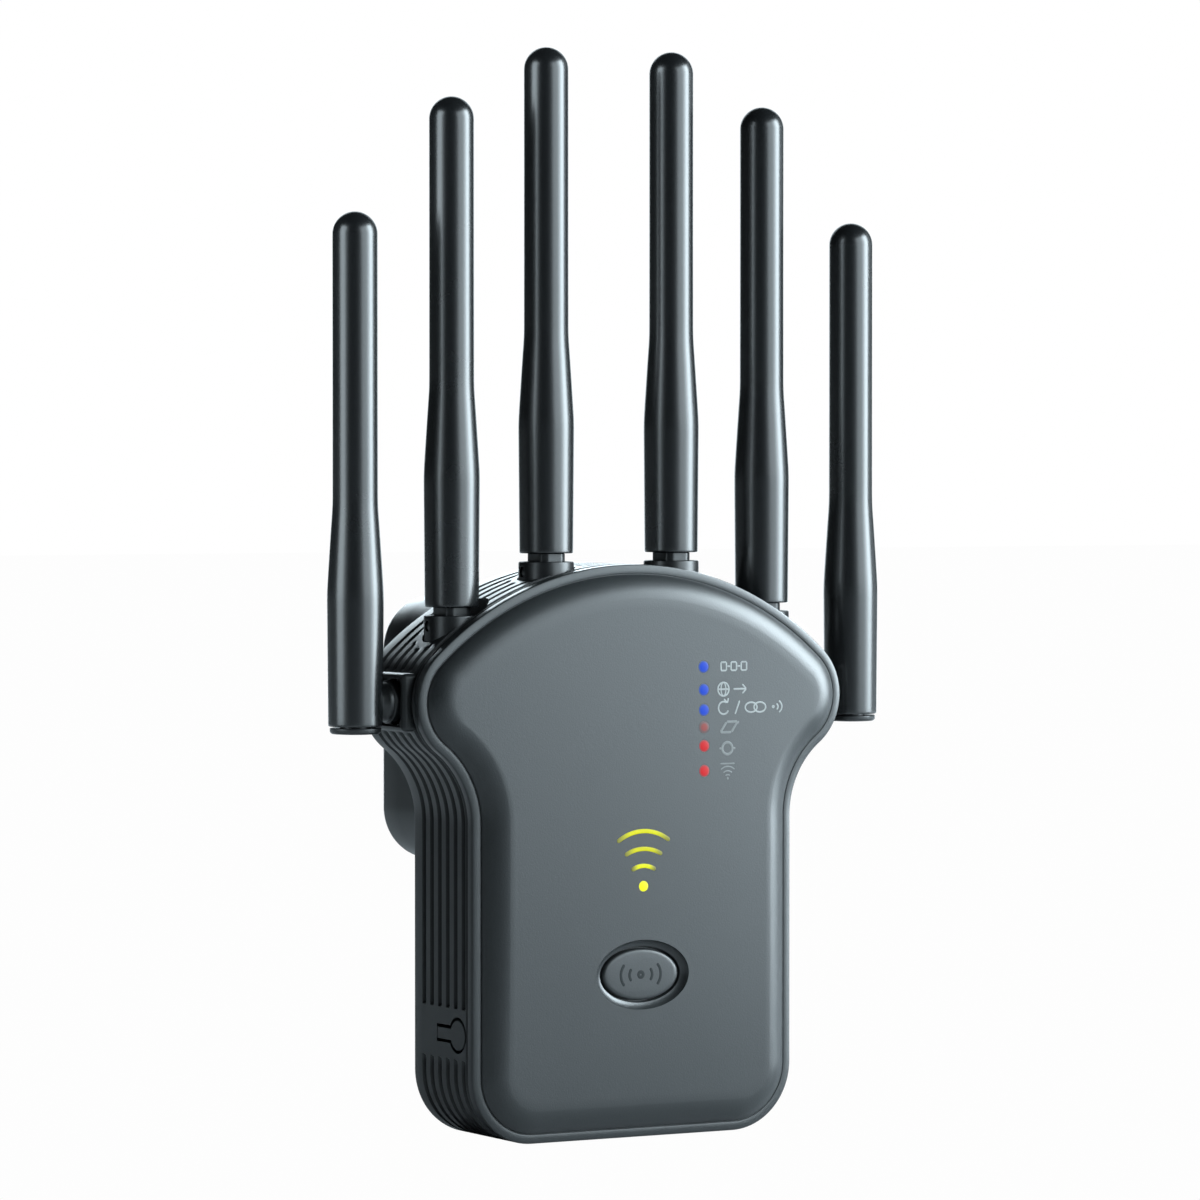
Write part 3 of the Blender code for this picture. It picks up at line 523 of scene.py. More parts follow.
# %% [markdown]
# ## The casing's outline
# Seen from the front, the casing is a crown arc, a shoulder arc, a hollow waist arc, a
# straight side and a round corner, each tangent to the next. Because every curve is an
# arc, setting the outline in only changes the radii, so all rings line up point by
# point. That is what lets a profile be carried round it.

# %% Outline
HEIGHT, CROWN_R = 110.0, 62.5
SHOULDER_HALF, SHOULDER_R = 46.7, 11.9
WAIST_R, LOWER_HALF, CORNER_R = 17.5, 35.25, 13.0
STEPS = {"crown": 84, "shoulder": 34, "waist": 26, "side": 60, "corner": 24, "bottom": 30}


def arc(centre, radius, start_angle, end_angle, steps, end=False):
    """Points on an arc: the centre plus the radius times cosine and sine."""
    turn = np.linspace(start_angle, end_angle, steps + 1)[: None if end else -1]
    return np.column_stack([centre[0] + radius * np.cos(turn), centre[1] + radius * np.sin(turn)])


def line(first, last, steps):
    """Evenly spaced points from the first towards the last, without the last."""
    t = np.linspace(0.0, 1.0, steps + 1)[:-1, None]
    return np.asarray(first) * (1.0 - t) + np.asarray(last) * t


def outline(inset=0.0):
    """The front outline set in by a distance, clockwise from the top, as x and z."""
    crown = (0.0, HEIGHT - CROWN_R)
    across = SHOULDER_HALF - SHOULDER_R
    shoulder = (across, crown[1] + math.sqrt((CROWN_R - SHOULDER_R) ** 2 - across**2))
    waist_x = LOWER_HALF + WAIST_R
    reach = waist_x - across
    waist = (waist_x, shoulder[1] - math.sqrt((SHOULDER_R + WAIST_R) ** 2 - reach**2))
    corner = (LOWER_HALF - CORNER_R, CORNER_R)
    top = math.atan2(shoulder[1] - crown[1], shoulder[0])
    low = math.atan2(waist[1] - shoulder[1], reach)
    side_x = LOWER_HALF - inset
    half = np.vstack([
        arc(crown, CROWN_R - inset, math.pi / 2, top, STEPS["crown"]),
        arc(shoulder, SHOULDER_R - inset, top, low, STEPS["shoulder"]),
        arc(waist, WAIST_R + inset, low + math.pi, math.pi, STEPS["waist"]),
        line((side_x, waist[1]), (side_x, corner[1]), STEPS["side"]),
        arc(corner, CORNER_R - inset, 0.0, -math.pi / 2, STEPS["corner"]),
        line((corner[0], inset), (0.0, inset), STEPS["bottom"]),
        [(0.0, inset)],
    ])
    left = half[-2:0:-1] * (-1.0, 1.0)
    return np.vstack([half, left])


EDGE = outline()
print("outline points", len(EDGE))

# %% [markdown]
# ## Front cover
# The cover is a shallow dish: a narrow ledge that leans out a little, a fine crease, a
# round bevel, and a panel that is crowned by 1.4 millimetres so that light slides
# across it. It is one profile of inset and depth carried round the outline, then the
# same outline shrunk towards the middle for the panel. A second, offset profile gives
# the wall its inside.

# %% Cover surface
PANEL_MIDDLE = np.array((0.0, 55.0))
BEVEL_IN, BEVEL_WIDE, BEVEL_POWER, RISE = 1.95, 4.7, 0.8, 2.1
CROWN_HIGH = 1.4


def crown_height(x, z):
    """Extra rise of the panel: a parabola across times a parabola along."""
    return CROWN_HIGH * (1.0 - (x / 46.0) ** 2) * (1.0 - ((z - 58.0) / 62.0) ** 2)


def panel_y(x, z):
    """The depth of the panel's face at a place."""
    return -RISE - crown_height(x, z)


def ring(inset, y):
    """The outline set in by a distance, at one depth."""
    xz = outline(inset)
    return np.column_stack([xz[:, 0], np.full(len(xz), y), xz[:, 1]])


def cover_rows():
    """Rows from the rim over the ledge and bevel to the middle, and back inside."""
    rows = [ring(i, y) for i, y in (
        (0.25, 2.3), (0.0, 2.05), (0.0, 0.80), (0.05, 0.52), (0.16, 0.34), (0.34, 0.25),
        (1.0, 0.19), (1.62, 0.12), (1.72, 0.16), (1.80, 0.25), (1.90, 0.25),
    )]
    for share in 1.0 - np.cos(np.radians(np.concatenate([[0.0, 6.0], np.linspace(12.0, 90.0, 18)]))):
        row = ring(BEVEL_IN + BEVEL_WIDE * share, 0.0)
        round_y = -RISE * (1.0 - (1.0 - share) ** 2) ** BEVEL_POWER
        row[:, 1] = round_y - share * crown_height(row[:, 0], row[:, 2])
        rows.append(row)
    last = outline(BEVEL_IN + BEVEL_WIDE)
    shrink = np.linspace(1.0, 0.0, 30)[1:]
    for share in shrink:
        xz = PANEL_MIDDLE + share * (last - PANEL_MIDDLE)
        rows.append(np.column_stack([xz[:, 0], panel_y(xz[:, 0], xz[:, 1]), xz[:, 1]]))
    for share in shrink[::-3]:
        xz = PANEL_MIDDLE + share * (outline(7.4) - PANEL_MIDDLE)
        rows.append(np.column_stack([xz[:, 0], panel_y(xz[:, 0], xz[:, 1]) + 1.9, xz[:, 1]]))
    rows += [ring(i, y) for i, y in ((6.2, -0.4), (4.4, 0.3), (3.9, 1.0), (2.2, 1.7), (2.0, 2.3))]
    return np.stack(rows)


# %% [markdown]
# The cover has holes for six status lights, three signal arcs with their dot, and the
# push button in its dished recess. They are cut with exact booleans, so that each lens
# sits in a real hole with a fine dark line round it.

# %% Cover holes
LIGHT_X = 13.6
LIGHT_Z = (90.2, 85.8, 81.9, 78.6, 75.0, 70.2)
LIGHT_R = 1.13
HOLE_GAP = 0.05
ARC_ENDS = ((2.3, 51.8, 52.4), (3.75, 54.7, 55.65), (5.45, 57.35, 59.05))
ARC_THICK = 0.8
DOT_Z, DOT_R = 48.5, 1.0
BUTTON_Z = 31.5
BUTTON_HALF = (8.4, 4.95)
RECESS = ((10.5, 7.0, -6.0), (10.22, 6.72, -3.2), (10.1, 6.6, -2.95), (9.75, 6.25, -2.55),
          (9.25, 5.77, -2.2), (8.88, 5.42, -2.05), (8.74, 5.29, -1.8), (8.72, 5.27, 3.0))


def oval(half_x, half_z, middle, steps=96):
    """An ellipse: half_x times the cosine, half_z times the sine."""
    turn = np.linspace(0.0, 2.0 * np.pi, steps, endpoint=False)
    return np.column_stack([middle[0] + half_x * np.cos(turn), middle[1] + half_z * np.sin(turn)])


def bow(half_x, end_z, top_z, beyond=0.0, steps=40):
    """The middle line of a signal arc: a circle through its ends and top, and a little beyond them."""
    rise = top_z - end_z
    radius = (half_x**2 + rise**2) / (2.0 * rise)
    lean = math.asin(half_x / radius) + beyond / radius
    return arc((0.0, top_z - radius), radius, math.pi / 2 + lean, math.pi / 2 - lean, steps, end=True)


def widened(path, half):
    """Both sides of a path, each half a width away along its normal, with round ends."""
    slope = np.gradient(path, axis=0)
    slope /= np.linalg.norm(slope, axis=1, keepdims=True)
    normal = slope[:, ::-1] * (-1.0, 1.0)
    turn = np.linspace(0.0, np.pi, 9)[1:-1, None]
    last = path[-1] + half * (np.cos(turn) * normal[-1] + np.sin(turn) * slope[-1])
    first = path[0] - half * (np.cos(turn) * normal[0] + np.sin(turn) * slope[0])
    return np.vstack([path + half * normal, last, (path - half * normal)[::-1], first])


cover = add("front_panel", [shell(cover_rows(), join_ends=True)], case_grey, "casing", "casing_grey",
            ["front_cover"])
holes = [turned([(LIGHT_R + HOLE_GAP, -6.0), (LIGHT_R + HOLE_GAP, 4.0)], (LIGHT_X, 0.0, z), "Y", 40)
         for z in LIGHT_Z]
holes += [prism(widened(bow(*ends), ARC_THICK / 2 + HOLE_GAP), -6.0, 4.0) for ends in ARC_ENDS]
holes.append(turned([(DOT_R + HOLE_GAP, -6.0), (DOT_R + HOLE_GAP, 4.0)], (0.0, 0.0, DOT_Z), "Y", 40))
holes.append(stack([(oval(a, b, (0.0, BUTTON_Z)), y) for a, b, y in RECESS]))
carve(cover, holes)
shade_smooth(cover, 32.0)
print("front panel faces", len(cover.data.polygons))

# %% [markdown]
# ## Ribbed case
# The case behind the cover has six fine grooves round it. They stop in a smooth patch
# round each antenna seat, at the side mounts and at the reset tongue, each with a round
# end. The depth of a groove is its profile across times a mask along, so the whole wall
# is one function of the place on the outline and the depth. The back wall and the plug
# block carry on from it, and the same rows return inside to give the wall its thickness.

# %% Case surface
WALL = 2.2
CASE_FRONT, CASE_BACK = 2.6, 23.7
GROOVE_Y = 3.75 + 3.17 * np.arange(6)
GROOVE_HALF, GROOVE_DEEP = 0.76, 1.35
ANTENNA_Y = 9.83
TOP_ANTENNAS = {2: (-34.45, 102.07), 3: (-13.89, 112.1), 4: (13.89, 112.1), 5: (34.45, 102.07)}
SIDE_PIVOT_Z = 84.3
PATCH_R, PATCH_FADE = 6.9, 0.7
RESET_PAD = (15.9, 25.9)
QUARTERS = ((1, 1, 0.0), (-1, 1, math.pi / 2), (-1, -1, math.pi), (1, -1, 1.5 * math.pi))
PLUG_HALF, PLUG_R = 26.0, 10.5


def groove_mask(x, z, y, inner):
    """1 where a groove runs, 0 where it stops; the inner four stop in more places."""
    low, high = RESET_PAD
    pad = between(low - 0.5, low, z) * between(-high - 0.5, -high, -z)
    mask = 1.0 - pad * (x < -34.0)
    if inner:
        mask = mask * between(6.1, 6.6, np.abs(z - SIDE_PIVOT_Z) + 50.0 * (np.abs(x) < 40.0))
        for seat_x, _ in TOP_ANTENNAS.values():
            away = np.hypot(x - seat_x, y - ANTENNA_Y)
            mask = mask * np.maximum(between(PATCH_R, PATCH_R + PATCH_FADE, away), z < 88.0)
    return mask


def case_side_rows():
    """Rows of the ribbed wall: the outline pulled in by each groove's depth."""
    inward = outline(1.0) - EDGE
    x, z = EDGE.T
    across = np.array((-1.0, -0.82, -0.6, -0.35, 0.0, 0.35, 0.6, 0.82, 1.0))
    rows = [ring(0.28, CASE_FRONT), ring(0.0, CASE_FRONT + 0.26)]
    for number, middle in enumerate(GROOVE_Y):
        for share in across:
            y = middle + share * GROOVE_HALF
            depth = GROOVE_DEEP * between(1.0, 0.3, abs(share)) * np.ones(len(x))
            depth = depth * groove_mask(x, z, y, 0 < number < 5)
            xz = EDGE + inward * depth[:, None]
            rows.append(np.column_stack([xz[:, 0], np.full(len(x), y), xz[:, 1]]))
        if number < 5:
            rows.append(ring(0.0, middle + 1.585))
    return rows


def square_ring(half, radius, y):
    """A rounded square about the plug's middle, sampled at the outline's own bearings."""
    flat = half - radius
    corners = [arc((sx * flat, sz * flat), radius, a, a + math.pi / 2, 90) for sx, sz, a in QUARTERS]
    following = corners[1:] + corners[:1]
    spots = np.vstack([np.vstack([c, line(c[-1], n[0], 60)]) for c, n in zip(corners, following)])
    bearing = np.unwrap(np.arctan2(spots[:, 1], spots[:, 0]))
    wanted = np.arctan2(EDGE[:, 1] - PLUG_Z, EDGE[:, 0])
    wanted = bearing[0] + np.mod(wanted - bearing[0], 2.0 * np.pi)
    full = np.append(bearing, bearing[0] + 2.0 * np.pi)
    x = np.interp(wanted, full, np.append(spots[:, 0], spots[0, 0]))
    z = np.interp(wanted, full, np.append(spots[:, 1], spots[0, 1]))
    return np.column_stack([x, np.full(len(x), y), z + PLUG_Z])


def case_rows():
    """The ribbed wall, back wall and plug block outside, then the same inside."""
    rows = case_side_rows()
    round_r = 0.4
    for angle in np.radians((0.0, 22.5, 45.0, 67.5, 90.0)):
        rows.append(ring(round_r * (1.0 - math.cos(angle)), CASE_BACK - round_r + round_r * math.sin(angle)))
    edge, foot = rows[-1], square_ring(PLUG_HALF + 1.5, PLUG_R + 1.5, CASE_BACK)
    rows += [edge * (1.0 - t) + foot * t for t in (0.25, 0.5, 0.75)]
    for angle in np.radians((0.0, 30.0, 60.0, 90.0)):
        out = 1.5 * (1.0 - math.sin(angle))
        rows.append(square_ring(PLUG_HALF + out, PLUG_R + out, CASE_BACK + 1.5 * (1.0 - math.cos(angle))))
    rows += [square_ring(PLUG_HALF, PLUG_R, y) for y in (32.0, 40.0, 48.0, PLUG_BACK - 1.3)]
    for angle in np.radians((30.0, 60.0, 90.0)):
        out = -1.3 * (1.0 - math.cos(angle))
        rows.append(square_ring(PLUG_HALF + out, PLUG_R + out, PLUG_BACK - 1.3 + 1.3 * math.sin(angle)))
    inner = PLUG_HALF - WALL
    inner_r = PLUG_R - WALL
    rows += [square_ring(inner + 0.15, inner_r + 0.15, PLUG_BACK), square_ring(inner, inner_r, 54.8)]
    rows += [square_ring(inner, inner_r, CASE_BACK - WALL), ring(WALL, CASE_BACK - WALL)]
    rows += [ring(WALL, 12.0), ring(WALL, CASE_FRONT)]
    return np.stack(rows)


case = add("ribbed_case", [shell(case_rows(), join_ends=True)], rib_grey, "casing", "casing_grey",
           ["rear_housing"])
print("case faces before cutting", len(case.data.polygons))

# %% [markdown]
# The antenna seats are sleeves inside the wall, bored for the swivel bases. The two side
# mounts are raised frames with a window and a round bore for the elbow. The reset tongue
# is outlined by a keyhole slit. All are joined or cut with exact booleans: first what is
# added, then what is taken away.

# %% Seats, side mounts and openings
FOOT_UP, BASE_DOWN = 3.6, 10.0
SLEEVE_R, BORE_R = 6.5, 5.65
COLLAR_R, RELIEF_R, RELIEF_HALF, RELIEF_UP = 8.2, 7.1, 6.2, 1.5
OUTER_SEATS_FROM, ABOVE_ALL = 20.0, 125.0
MOUNT_WINDOW, ELBOW_BORE_R = (4.75, 4.6, 0.5), 4.45
SOCKET_X, SOCKET_HALF, SOCKET_Y = 9.5, 8.3, (8.6, 20.7)
MOUNT_HALF = (5.85, 5.5)
MOUNT_ROUND = ((0.0, 44.0), (0.0, 47.15), (0.08, 47.45), (0.24, 47.72), (0.48, 47.92), (0.74, 48.0))
RESET_Y, RESET_Z, RESET_HEAD_R, RESET_NECK, RESET_ROOT = 6.2, 20.8, 2.9, 1.15, 14.2
SLIT = 0.55


def sleeve(x, radius, bottom):
    """A rod inside the crown whose top follows the crown arc a millimetre below it."""
    turn = np.linspace(0.0, 2.0 * np.pi, 48, endpoint=False)
    px, py = x + radius * np.cos(turn), ANTENNA_Y + radius * np.sin(turn)
    py = np.clip(py, CASE_FRONT + 0.2, CASE_BACK - 1.0)
    top = HEIGHT - CROWN_R + np.sqrt((CROWN_R - 1.05) ** 2 - px**2)
    low = np.column_stack([px, py, np.full(48, bottom)])
    return shell(np.stack([low, np.column_stack([px, py, top])]))


def rounded_rect(half_y, half_z, radius, steps=8):
    """A rectangle with round corners, as y and z about the side pivot."""
    flat_y, flat_z = half_y - radius, half_z - radius
    corners = [arc((sy * flat_y, sz * flat_z), radius, a, a + math.pi / 2, steps, end=True)
               for sy, sz, a in QUARTERS]
    return np.vstack(corners) + (ANTENNA_Y, SIDE_PIVOT_Z)


def side_stack(side, layers):
    """Outlines in y and z, each at its own distance out to one side."""
    rows = [np.column_stack([np.full(len(yz), side * out), yz]) for yz, out in layers]
    return shell(np.stack(rows))


def keyhole(grow):
    """A round head and a neck behind it, grown all round, as y and z."""
    head, neck = RESET_HEAD_R + grow, RESET_NECK + grow
    lean = math.asin(neck / head)
    turned_arc = arc((RESET_Y, RESET_Z), head, lean, 2.0 * math.pi - lean, 48, end=True)
    root = RESET_ROOT + (0.3 if grow > 0.0 else 0.0)
    return np.vstack([turned_arc, [(root, RESET_Z - neck), (root, RESET_Z + neck)]])


added, taken, taken_next = [], [], []
for number, (x, seam) in TOP_ANTENNAS.items():
    pivot_z = seam - FOOT_UP
    outer = abs(x) > OUTER_SEATS_FROM
    added.append(sleeve(x, COLLAR_R if outer else SLEEVE_R, pivot_z - BASE_DOWN + 0.3))
    bore = [(BORE_R, pivot_z - BASE_DOWN - 2.0), (BORE_R, ABOVE_ALL)]
    taken.append(turned(bore, (x, ANTENNA_Y, 0.0), "Z", 64))
    if outer:
        turn = np.linspace(0.0, 2.0 * np.pi, 96, endpoint=False)
        rim_x = x + RELIEF_R * np.cos(turn)
        rim_y = ANTENNA_Y + np.clip(RELIEF_R * np.sin(turn), -RELIEF_HALF, RELIEF_HALF)
        heights = (pivot_z + RELIEF_UP, ABOVE_ALL)
        levels = [np.column_stack([rim_x, rim_y, np.full(96, height)]) for height in heights]
        taken_next.append(shell(np.stack(levels)))
for side in (-1, 1):
    half_y, half_z = MOUNT_HALF
    added.append(side_stack(side, [
        (rounded_rect(half_y - inset, half_z - inset, 1.0 - inset), out) for inset, out in MOUNT_ROUND
    ]))
    window = rounded_rect(*MOUNT_WINDOW)
    taken.append(side_stack(side, [(window, 46.8), (window, 50.0)]))
    elbow_bore = [(ELBOW_BORE_R, side * 42.9), (ELBOW_BORE_R, side * 47.0)]
    taken_next.append(turned(elbow_bore, (0.0, ANTENNA_Y, SIDE_PIVOT_Z), "X", 64))
slit_ends = (-LOWER_HALF - 1.0, -LOWER_HALF + WALL + 1.0)
slit = [np.column_stack([np.full(51, x), keyhole(SLIT)]) for x in slit_ends]
taken.append(shell(np.stack(slit)))
for x in (-SOCKET_X, SOCKET_X):
    taken.append(block((x - SOCKET_HALF, SOCKET_Y[0], -1.0), (x + SOCKET_HALF, SOCKET_Y[1], WALL + 1.0)))
SCREWS = [(side * x, z) for x, z in ((36.0, 78.0), (28.9, 9.4)) for side in (-1, 1)]
for x, z in SCREWS:
    taken.append(turned([(1.5, 18.0), (1.5, 22.6), (2.7, 22.6), (2.75, 25.0)], (x, 0.0, z), "Y", 40))
carve(case, added, "UNION")
carve(case, taken)
carve(case, taken_next)
shade_smooth(case, 32.0)
print("case faces", len(case.data.polygons))

# %% [markdown]
# ## Push button and reset tongue
# The push button is an oval cap with a soft edge and a face that bulges by a fraction of
# a millimetre. The reset tongue is the wall's own plastic, freed by the slit. Each rides
# on its own moving body.

# %% Buttons
CAP_ROWS = ((0.0, -2.42), (0.5, -2.417), (0.85, -2.40), (0.93, -2.36),
            (0.97, -2.24), (0.992, -1.98), (1.0, -1.5))


def cap_rows():
    """Ovals from the middle of the face outwards, then back to the lip and the stem."""
    middle = (0.0, BUTTON_Z)
    rows = [(oval(BUTTON_HALF[0] * s, BUTTON_HALF[1] * s, middle), y) for s, y in CAP_ROWS]
    rows += [(oval(BUTTON_HALF[0], BUTTON_HALF[1], middle), -0.7), (oval(9.4, 5.95, middle), -0.7)]
    rows += [(oval(9.4, 5.95, middle), 0.3), (oval(1.6, 1.6, middle), 0.3), (oval(1.6, 1.6, middle), 2.45)]
    return stack(rows)


cap = add("pairing_cap", [cap_rows()], case_grey, "pairing_cap", "casing_grey",
          ["pairing_button"], sharp=50.0)

tongue_rows = []
for inset, out in ((0.12, 0.0), (0.0, 0.12), (0.0, 1.6)):
    tongue_rows.append(np.column_stack([np.full(51, -LOWER_HALF + out), keyhole(-inset)]))
tongue = add("reset_tongue", [shell(np.stack(tongue_rows))], rib_grey, "reset_tongue", "casing_grey",
             ["reset_button"])
print("buttons", len(cap.data.polygons), len(tongue.data.polygons))

# %% [markdown]
# ## Lights and signs
# Each status light is the domed end of a clear pin, the signal sign is three bowed bars
# and a dot. The printed signs beside the lights are thin raised ink. A ribbon is one
# function: a low oval section carried along a path, laid on the crowned panel.

# %% Ribbons on the panel


def ribbon(path, half, lift=0.03, sink=0.12, closed=False, surface=panel_y):
    """A path widened to an oval section: across = half cos a, height = lift or sink times sin a."""
    if closed:
        slope = np.roll(path, -1, axis=0) - np.roll(path, 1, axis=0)
    else:
        slope = np.gradient(path, axis=0)
    slope = slope / np.linalg.norm(slope, axis=1, keepdims=True)
    normal = slope[:, ::-1] * (-1.0, 1.0)
    wide = np.full(len(path), half)
    if not closed:
        travelled = np.concatenate([[0.0], np.cumsum(np.linalg.norm(np.diff(path, axis=0), axis=1))])
        to_end = np.minimum(travelled, travelled[-1] - travelled)
        share = np.clip(to_end / half, 0.0, 1.0)
        wide = half * np.sqrt(np.clip(1.0 - (1.0 - share) ** 2, 0.0, 1.0))
    turn = np.linspace(0.0, 2.0 * np.pi, 12, endpoint=False)
    xz = path[:, None, :] + normal[:, None, :] * (wide[:, None] * np.cos(turn))[..., None]
    up = np.where(np.sin(turn) > 0.0, lift, sink) * np.sin(turn)
    y = surface(xz[..., 0], xz[..., 1]) - up
    return shell(np.stack([xz[..., 0], y, xz[..., 1]], axis=-1), join_ends=closed)


def eased(path, steps=10):
    """The same path with extra points near both ends, so that they round off finely."""
    ends = np.linspace(0.0, 1.0, steps) ** 2 * 0.12
    t = np.concatenate([ends, np.linspace(0.12, 0.88, 40)[1:-1], 1.0 - ends[::-1]])
    own = np.linspace(0.0, 1.0, len(path))
    return np.column_stack([np.interp(t, own, path[:, 0]), np.interp(t, own, path[:, 1])])


# %% Status lights and signal sign
LAMP_BLUE = ((0.002, 0.052, 0.600), (0.020, 0.070, 0.330))
LAMP_RED = ((0.600, 0.004, 0.008), (0.330, 0.030, 0.034))
LAMP_DIM = ((0.300, 0.070, 0.066), (0.140, 0.085, 0.088))
LAMPS = (LAMP_BLUE, LAMP_BLUE, LAMP_BLUE, LAMP_DIM, LAMP_RED, LAMP_RED)
for number, (z, (bright, rim)) in enumerate(zip(LIGHT_Z, LAMPS), 1):
    face = panel_y(LIGHT_X, z)
    radius = LIGHT_R * (0.8 if number == 4 else 1.0)
    shares = np.sin(np.linspace(0.0, np.pi / 2, 10))
    domed = [(LIGHT_R * s, face - 0.10 * (1.0 - s * s) + 0.02) for s in shares]
    shade = glow(f"status_light_{number}", (LIGHT_X, 0.0, z), radius, bright, rim, 1.0, 0.62)
    add(f"status_lens_{number}", [turned(domed + [(LIGHT_R, face + 0.6)], (LIGHT_X, 0.0, z), "Y", 40)],
        shade, "casing", "clear_guide")

YELLOWS = ((linear(232, 236, 8), linear(120, 122, 20)), (linear(212, 214, 16), linear(126, 128, 24)),
           (linear(222, 224, 12), linear(128, 130, 24)))
for number, (ends, (bright, rim)) in enumerate(zip(ARC_ENDS, YELLOWS), 1):
    shade = glow(f"signal_yellow_{number}", (0.0, 0.0, ends[2]), ends[0] * 1.15, bright, rim, 1.0, 0.4)
    path = eased(bow(*ends, beyond=ARC_THICK / 2))
    add(f"signal_arc_{number}", [ribbon(path, ARC_THICK / 2, 0.05, 0.8)], shade, "casing", "clear_guide")
face = panel_y(0.0, DOT_Z)
shares = np.sin(np.linspace(0.0, np.pi / 2, 10))
domed = [(DOT_R * s, face - 0.10 * (1.0 - s * s) + 0.02) for s in shares] + [(DOT_R, face + 0.6)]
shade = glow("signal_yellow_dot", (0.0, 0.0, DOT_Z), DOT_R * 1.3,
             linear(250, 252, 10), linear(236, 240, 20), 1.0)
add("signal_dot", [turned(domed, (0.0, 0.0, DOT_Z), "Y", 40)], shade, "casing", "clear_guide")

# %% [markdown]
# The printed signs are plain pictures of what each light means: wired devices, the world
# beyond, reset and pairing, and three small signs for link, port and signal. They carry
# no lettering.

# %% Printed signs
INK = 0.17


def loop(centre, half_x, half_z, steps=48, start_angle=0.0, sweep=2.0 * np.pi):
    """An ellipse or a part of one about a centre."""
    whole = abs(sweep - 2.0 * np.pi) < 1e-6
    turn = start_angle + np.linspace(0.0, sweep, steps, endpoint=not whole)
    return np.column_stack([centre[0] + half_x * np.cos(turn), centre[1] + half_z * np.sin(turn)])


def stroke(*corners, half=INK):
    """Straight ribbons from corner to corner."""
    made = []
    for first, last in zip(corners, corners[1:]):
        path = np.vstack([line(first, last, 16), [last]])
        made.append(ribbon(path, half))
    return made


def frame_sign(x, z, half_x, half_z, lean=0.0, half=INK):
    """A small four-sided ring, leaning to the right by lean."""
    corners = [(x - half_x - lean, z - half_z), (x + half_x - lean, z - half_z),
               (x + half_x + lean, z + half_z), (x - half_x + lean, z + half_z)]
    return stroke(*corners, corners[0], half=half)


bright_signs = []
for x in (18.1, 20.4, 22.7):
    bright_signs += frame_sign(x, LIGHT_Z[0], 0.62, 0.8)
for x in (18.9, 21.2):
    bright_signs += stroke((x, LIGHT_Z[0]), (x + 0.7, LIGHT_Z[0]))
globe = (18.0, LIGHT_Z[1])
for half_x, half in ((1.25, INK), (0.55, INK * 0.8)):
    bright_signs.append(ribbon(loop(globe, half_x, 1.3), half, closed=True))
bright_signs += stroke((16.8, globe[1]), (19.2, globe[1])) + stroke((20.2, globe[1]), (23.2, globe[1]))
bright_signs += stroke((22.3, globe[1] + 0.9), (23.2, globe[1]), (22.3, globe[1] - 0.9))
again = (18.0, LIGHT_Z[2] + 0.3)
bright_signs.append(ribbon(loop(again, 1.15, 1.2, start_angle=0.9, sweep=5.0), INK))
bright_signs += stroke((18.1, again[1] + 1.7), (18.9, again[1] + 0.95), (19.1, again[1] + 1.9))
bright_signs += stroke((20.6, again[1] - 1.3), (21.7, again[1] + 1.4))
for x in (24.3, 26.3):
    bright_signs.append(ribbon(loop((x, again[1]), 1.35, 0.95), INK, closed=True))
for reach in (0.9, 1.8):
    bright_signs.append(ribbon(loop((29.6, again[1]), reach, reach * 0.8, start_angle=-0.9, sweep=1.8), INK))
bright_signs.append(ribbon(loop((29.4, again[1]), 0.18, 0.18, 16), 0.15, closed=True))
add("printed_signs", bright_signs, ink, "casing", "casing_grey")

dim_signs = frame_sign(19.2, LIGHT_Z[3] - 0.1, 1.25, 1.0, 0.7, 0.24)
dim_signs += stroke((21.0, LIGHT_Z[3] + 0.55), (21.5, LIGHT_Z[3] + 0.95), half=0.24)
dim_signs.append(ribbon(loop((18.8, 74.4), 1.15, 1.15), 0.26, closed=True))
dim_signs += stroke((16.95, 74.4), (17.5, 74.4), half=0.22) + stroke((20.1, 74.4), (20.65, 74.4), half=0.22)
dim_signs += stroke((17.15, 71.45), (20.55, 71.45), half=0.16)
for reach in (2.35, 1.5, 0.75):
    dim_signs.append(ribbon(loop((18.85, 68.55), reach, reach, start_angle=0.85, sweep=1.44), 0.13))
dim_signs.append(ribbon(loop((18.85, 68.6), 0.12, 0.12, 12), 0.12, closed=True))
add("printed_signs_dim", dim_signs, ink_dim, "casing", "casing_grey")


def cap_face(x, z):
    """The push button's face, as deep as its rows say at that share of the oval."""
    share = np.hypot(x / BUTTON_HALF[0], (z - BUTTON_Z) / BUTTON_HALF[1])
    return np.interp(share, [s for s, _ in CAP_ROWS], [y for _, y in CAP_ROWS])


button_sign = [ribbon(loop((0.0, BUTTON_Z), 0.5, 0.5, 24), 0.34, closed=True, surface=cap_face)]
for reach in (2.5, 4.4):
    for turn in (0.0, np.pi):
        half_ring = loop((0.0, BUTTON_Z), reach, reach * 0.8, start_angle=turn - 0.62, sweep=1.24)
        button_sign.append(ribbon(half_ring, 0.3, surface=cap_face))
add("button_sign", button_sign, mark_dark, "pairing_cap", "casing_grey")
print("signs made")

# %% [markdown]
# ## Antennas
# All six sticks are the same: a round tip, a slim straight length, a slow flare and a
# foot. The radius along the stick is a smoothed line through a few stations, and the
# stick is that radius turned round its axis.

# %% Sticks
STICK_LONG, TIP_R, FOOT_R = 96.8, 4.25, 5.15
SIDE_X, SIDE_SEAM_Z = 55.05, 79.85
STATIONS = np.array(((-6.0, 5.1), (0.0, 5.15), (25.2, 5.35), (30.0, 5.05),
                     (37.0, 4.6), (41.6, 4.27), (60.0, 4.25), (110.0, 4.25)))
FLOW = 3.2


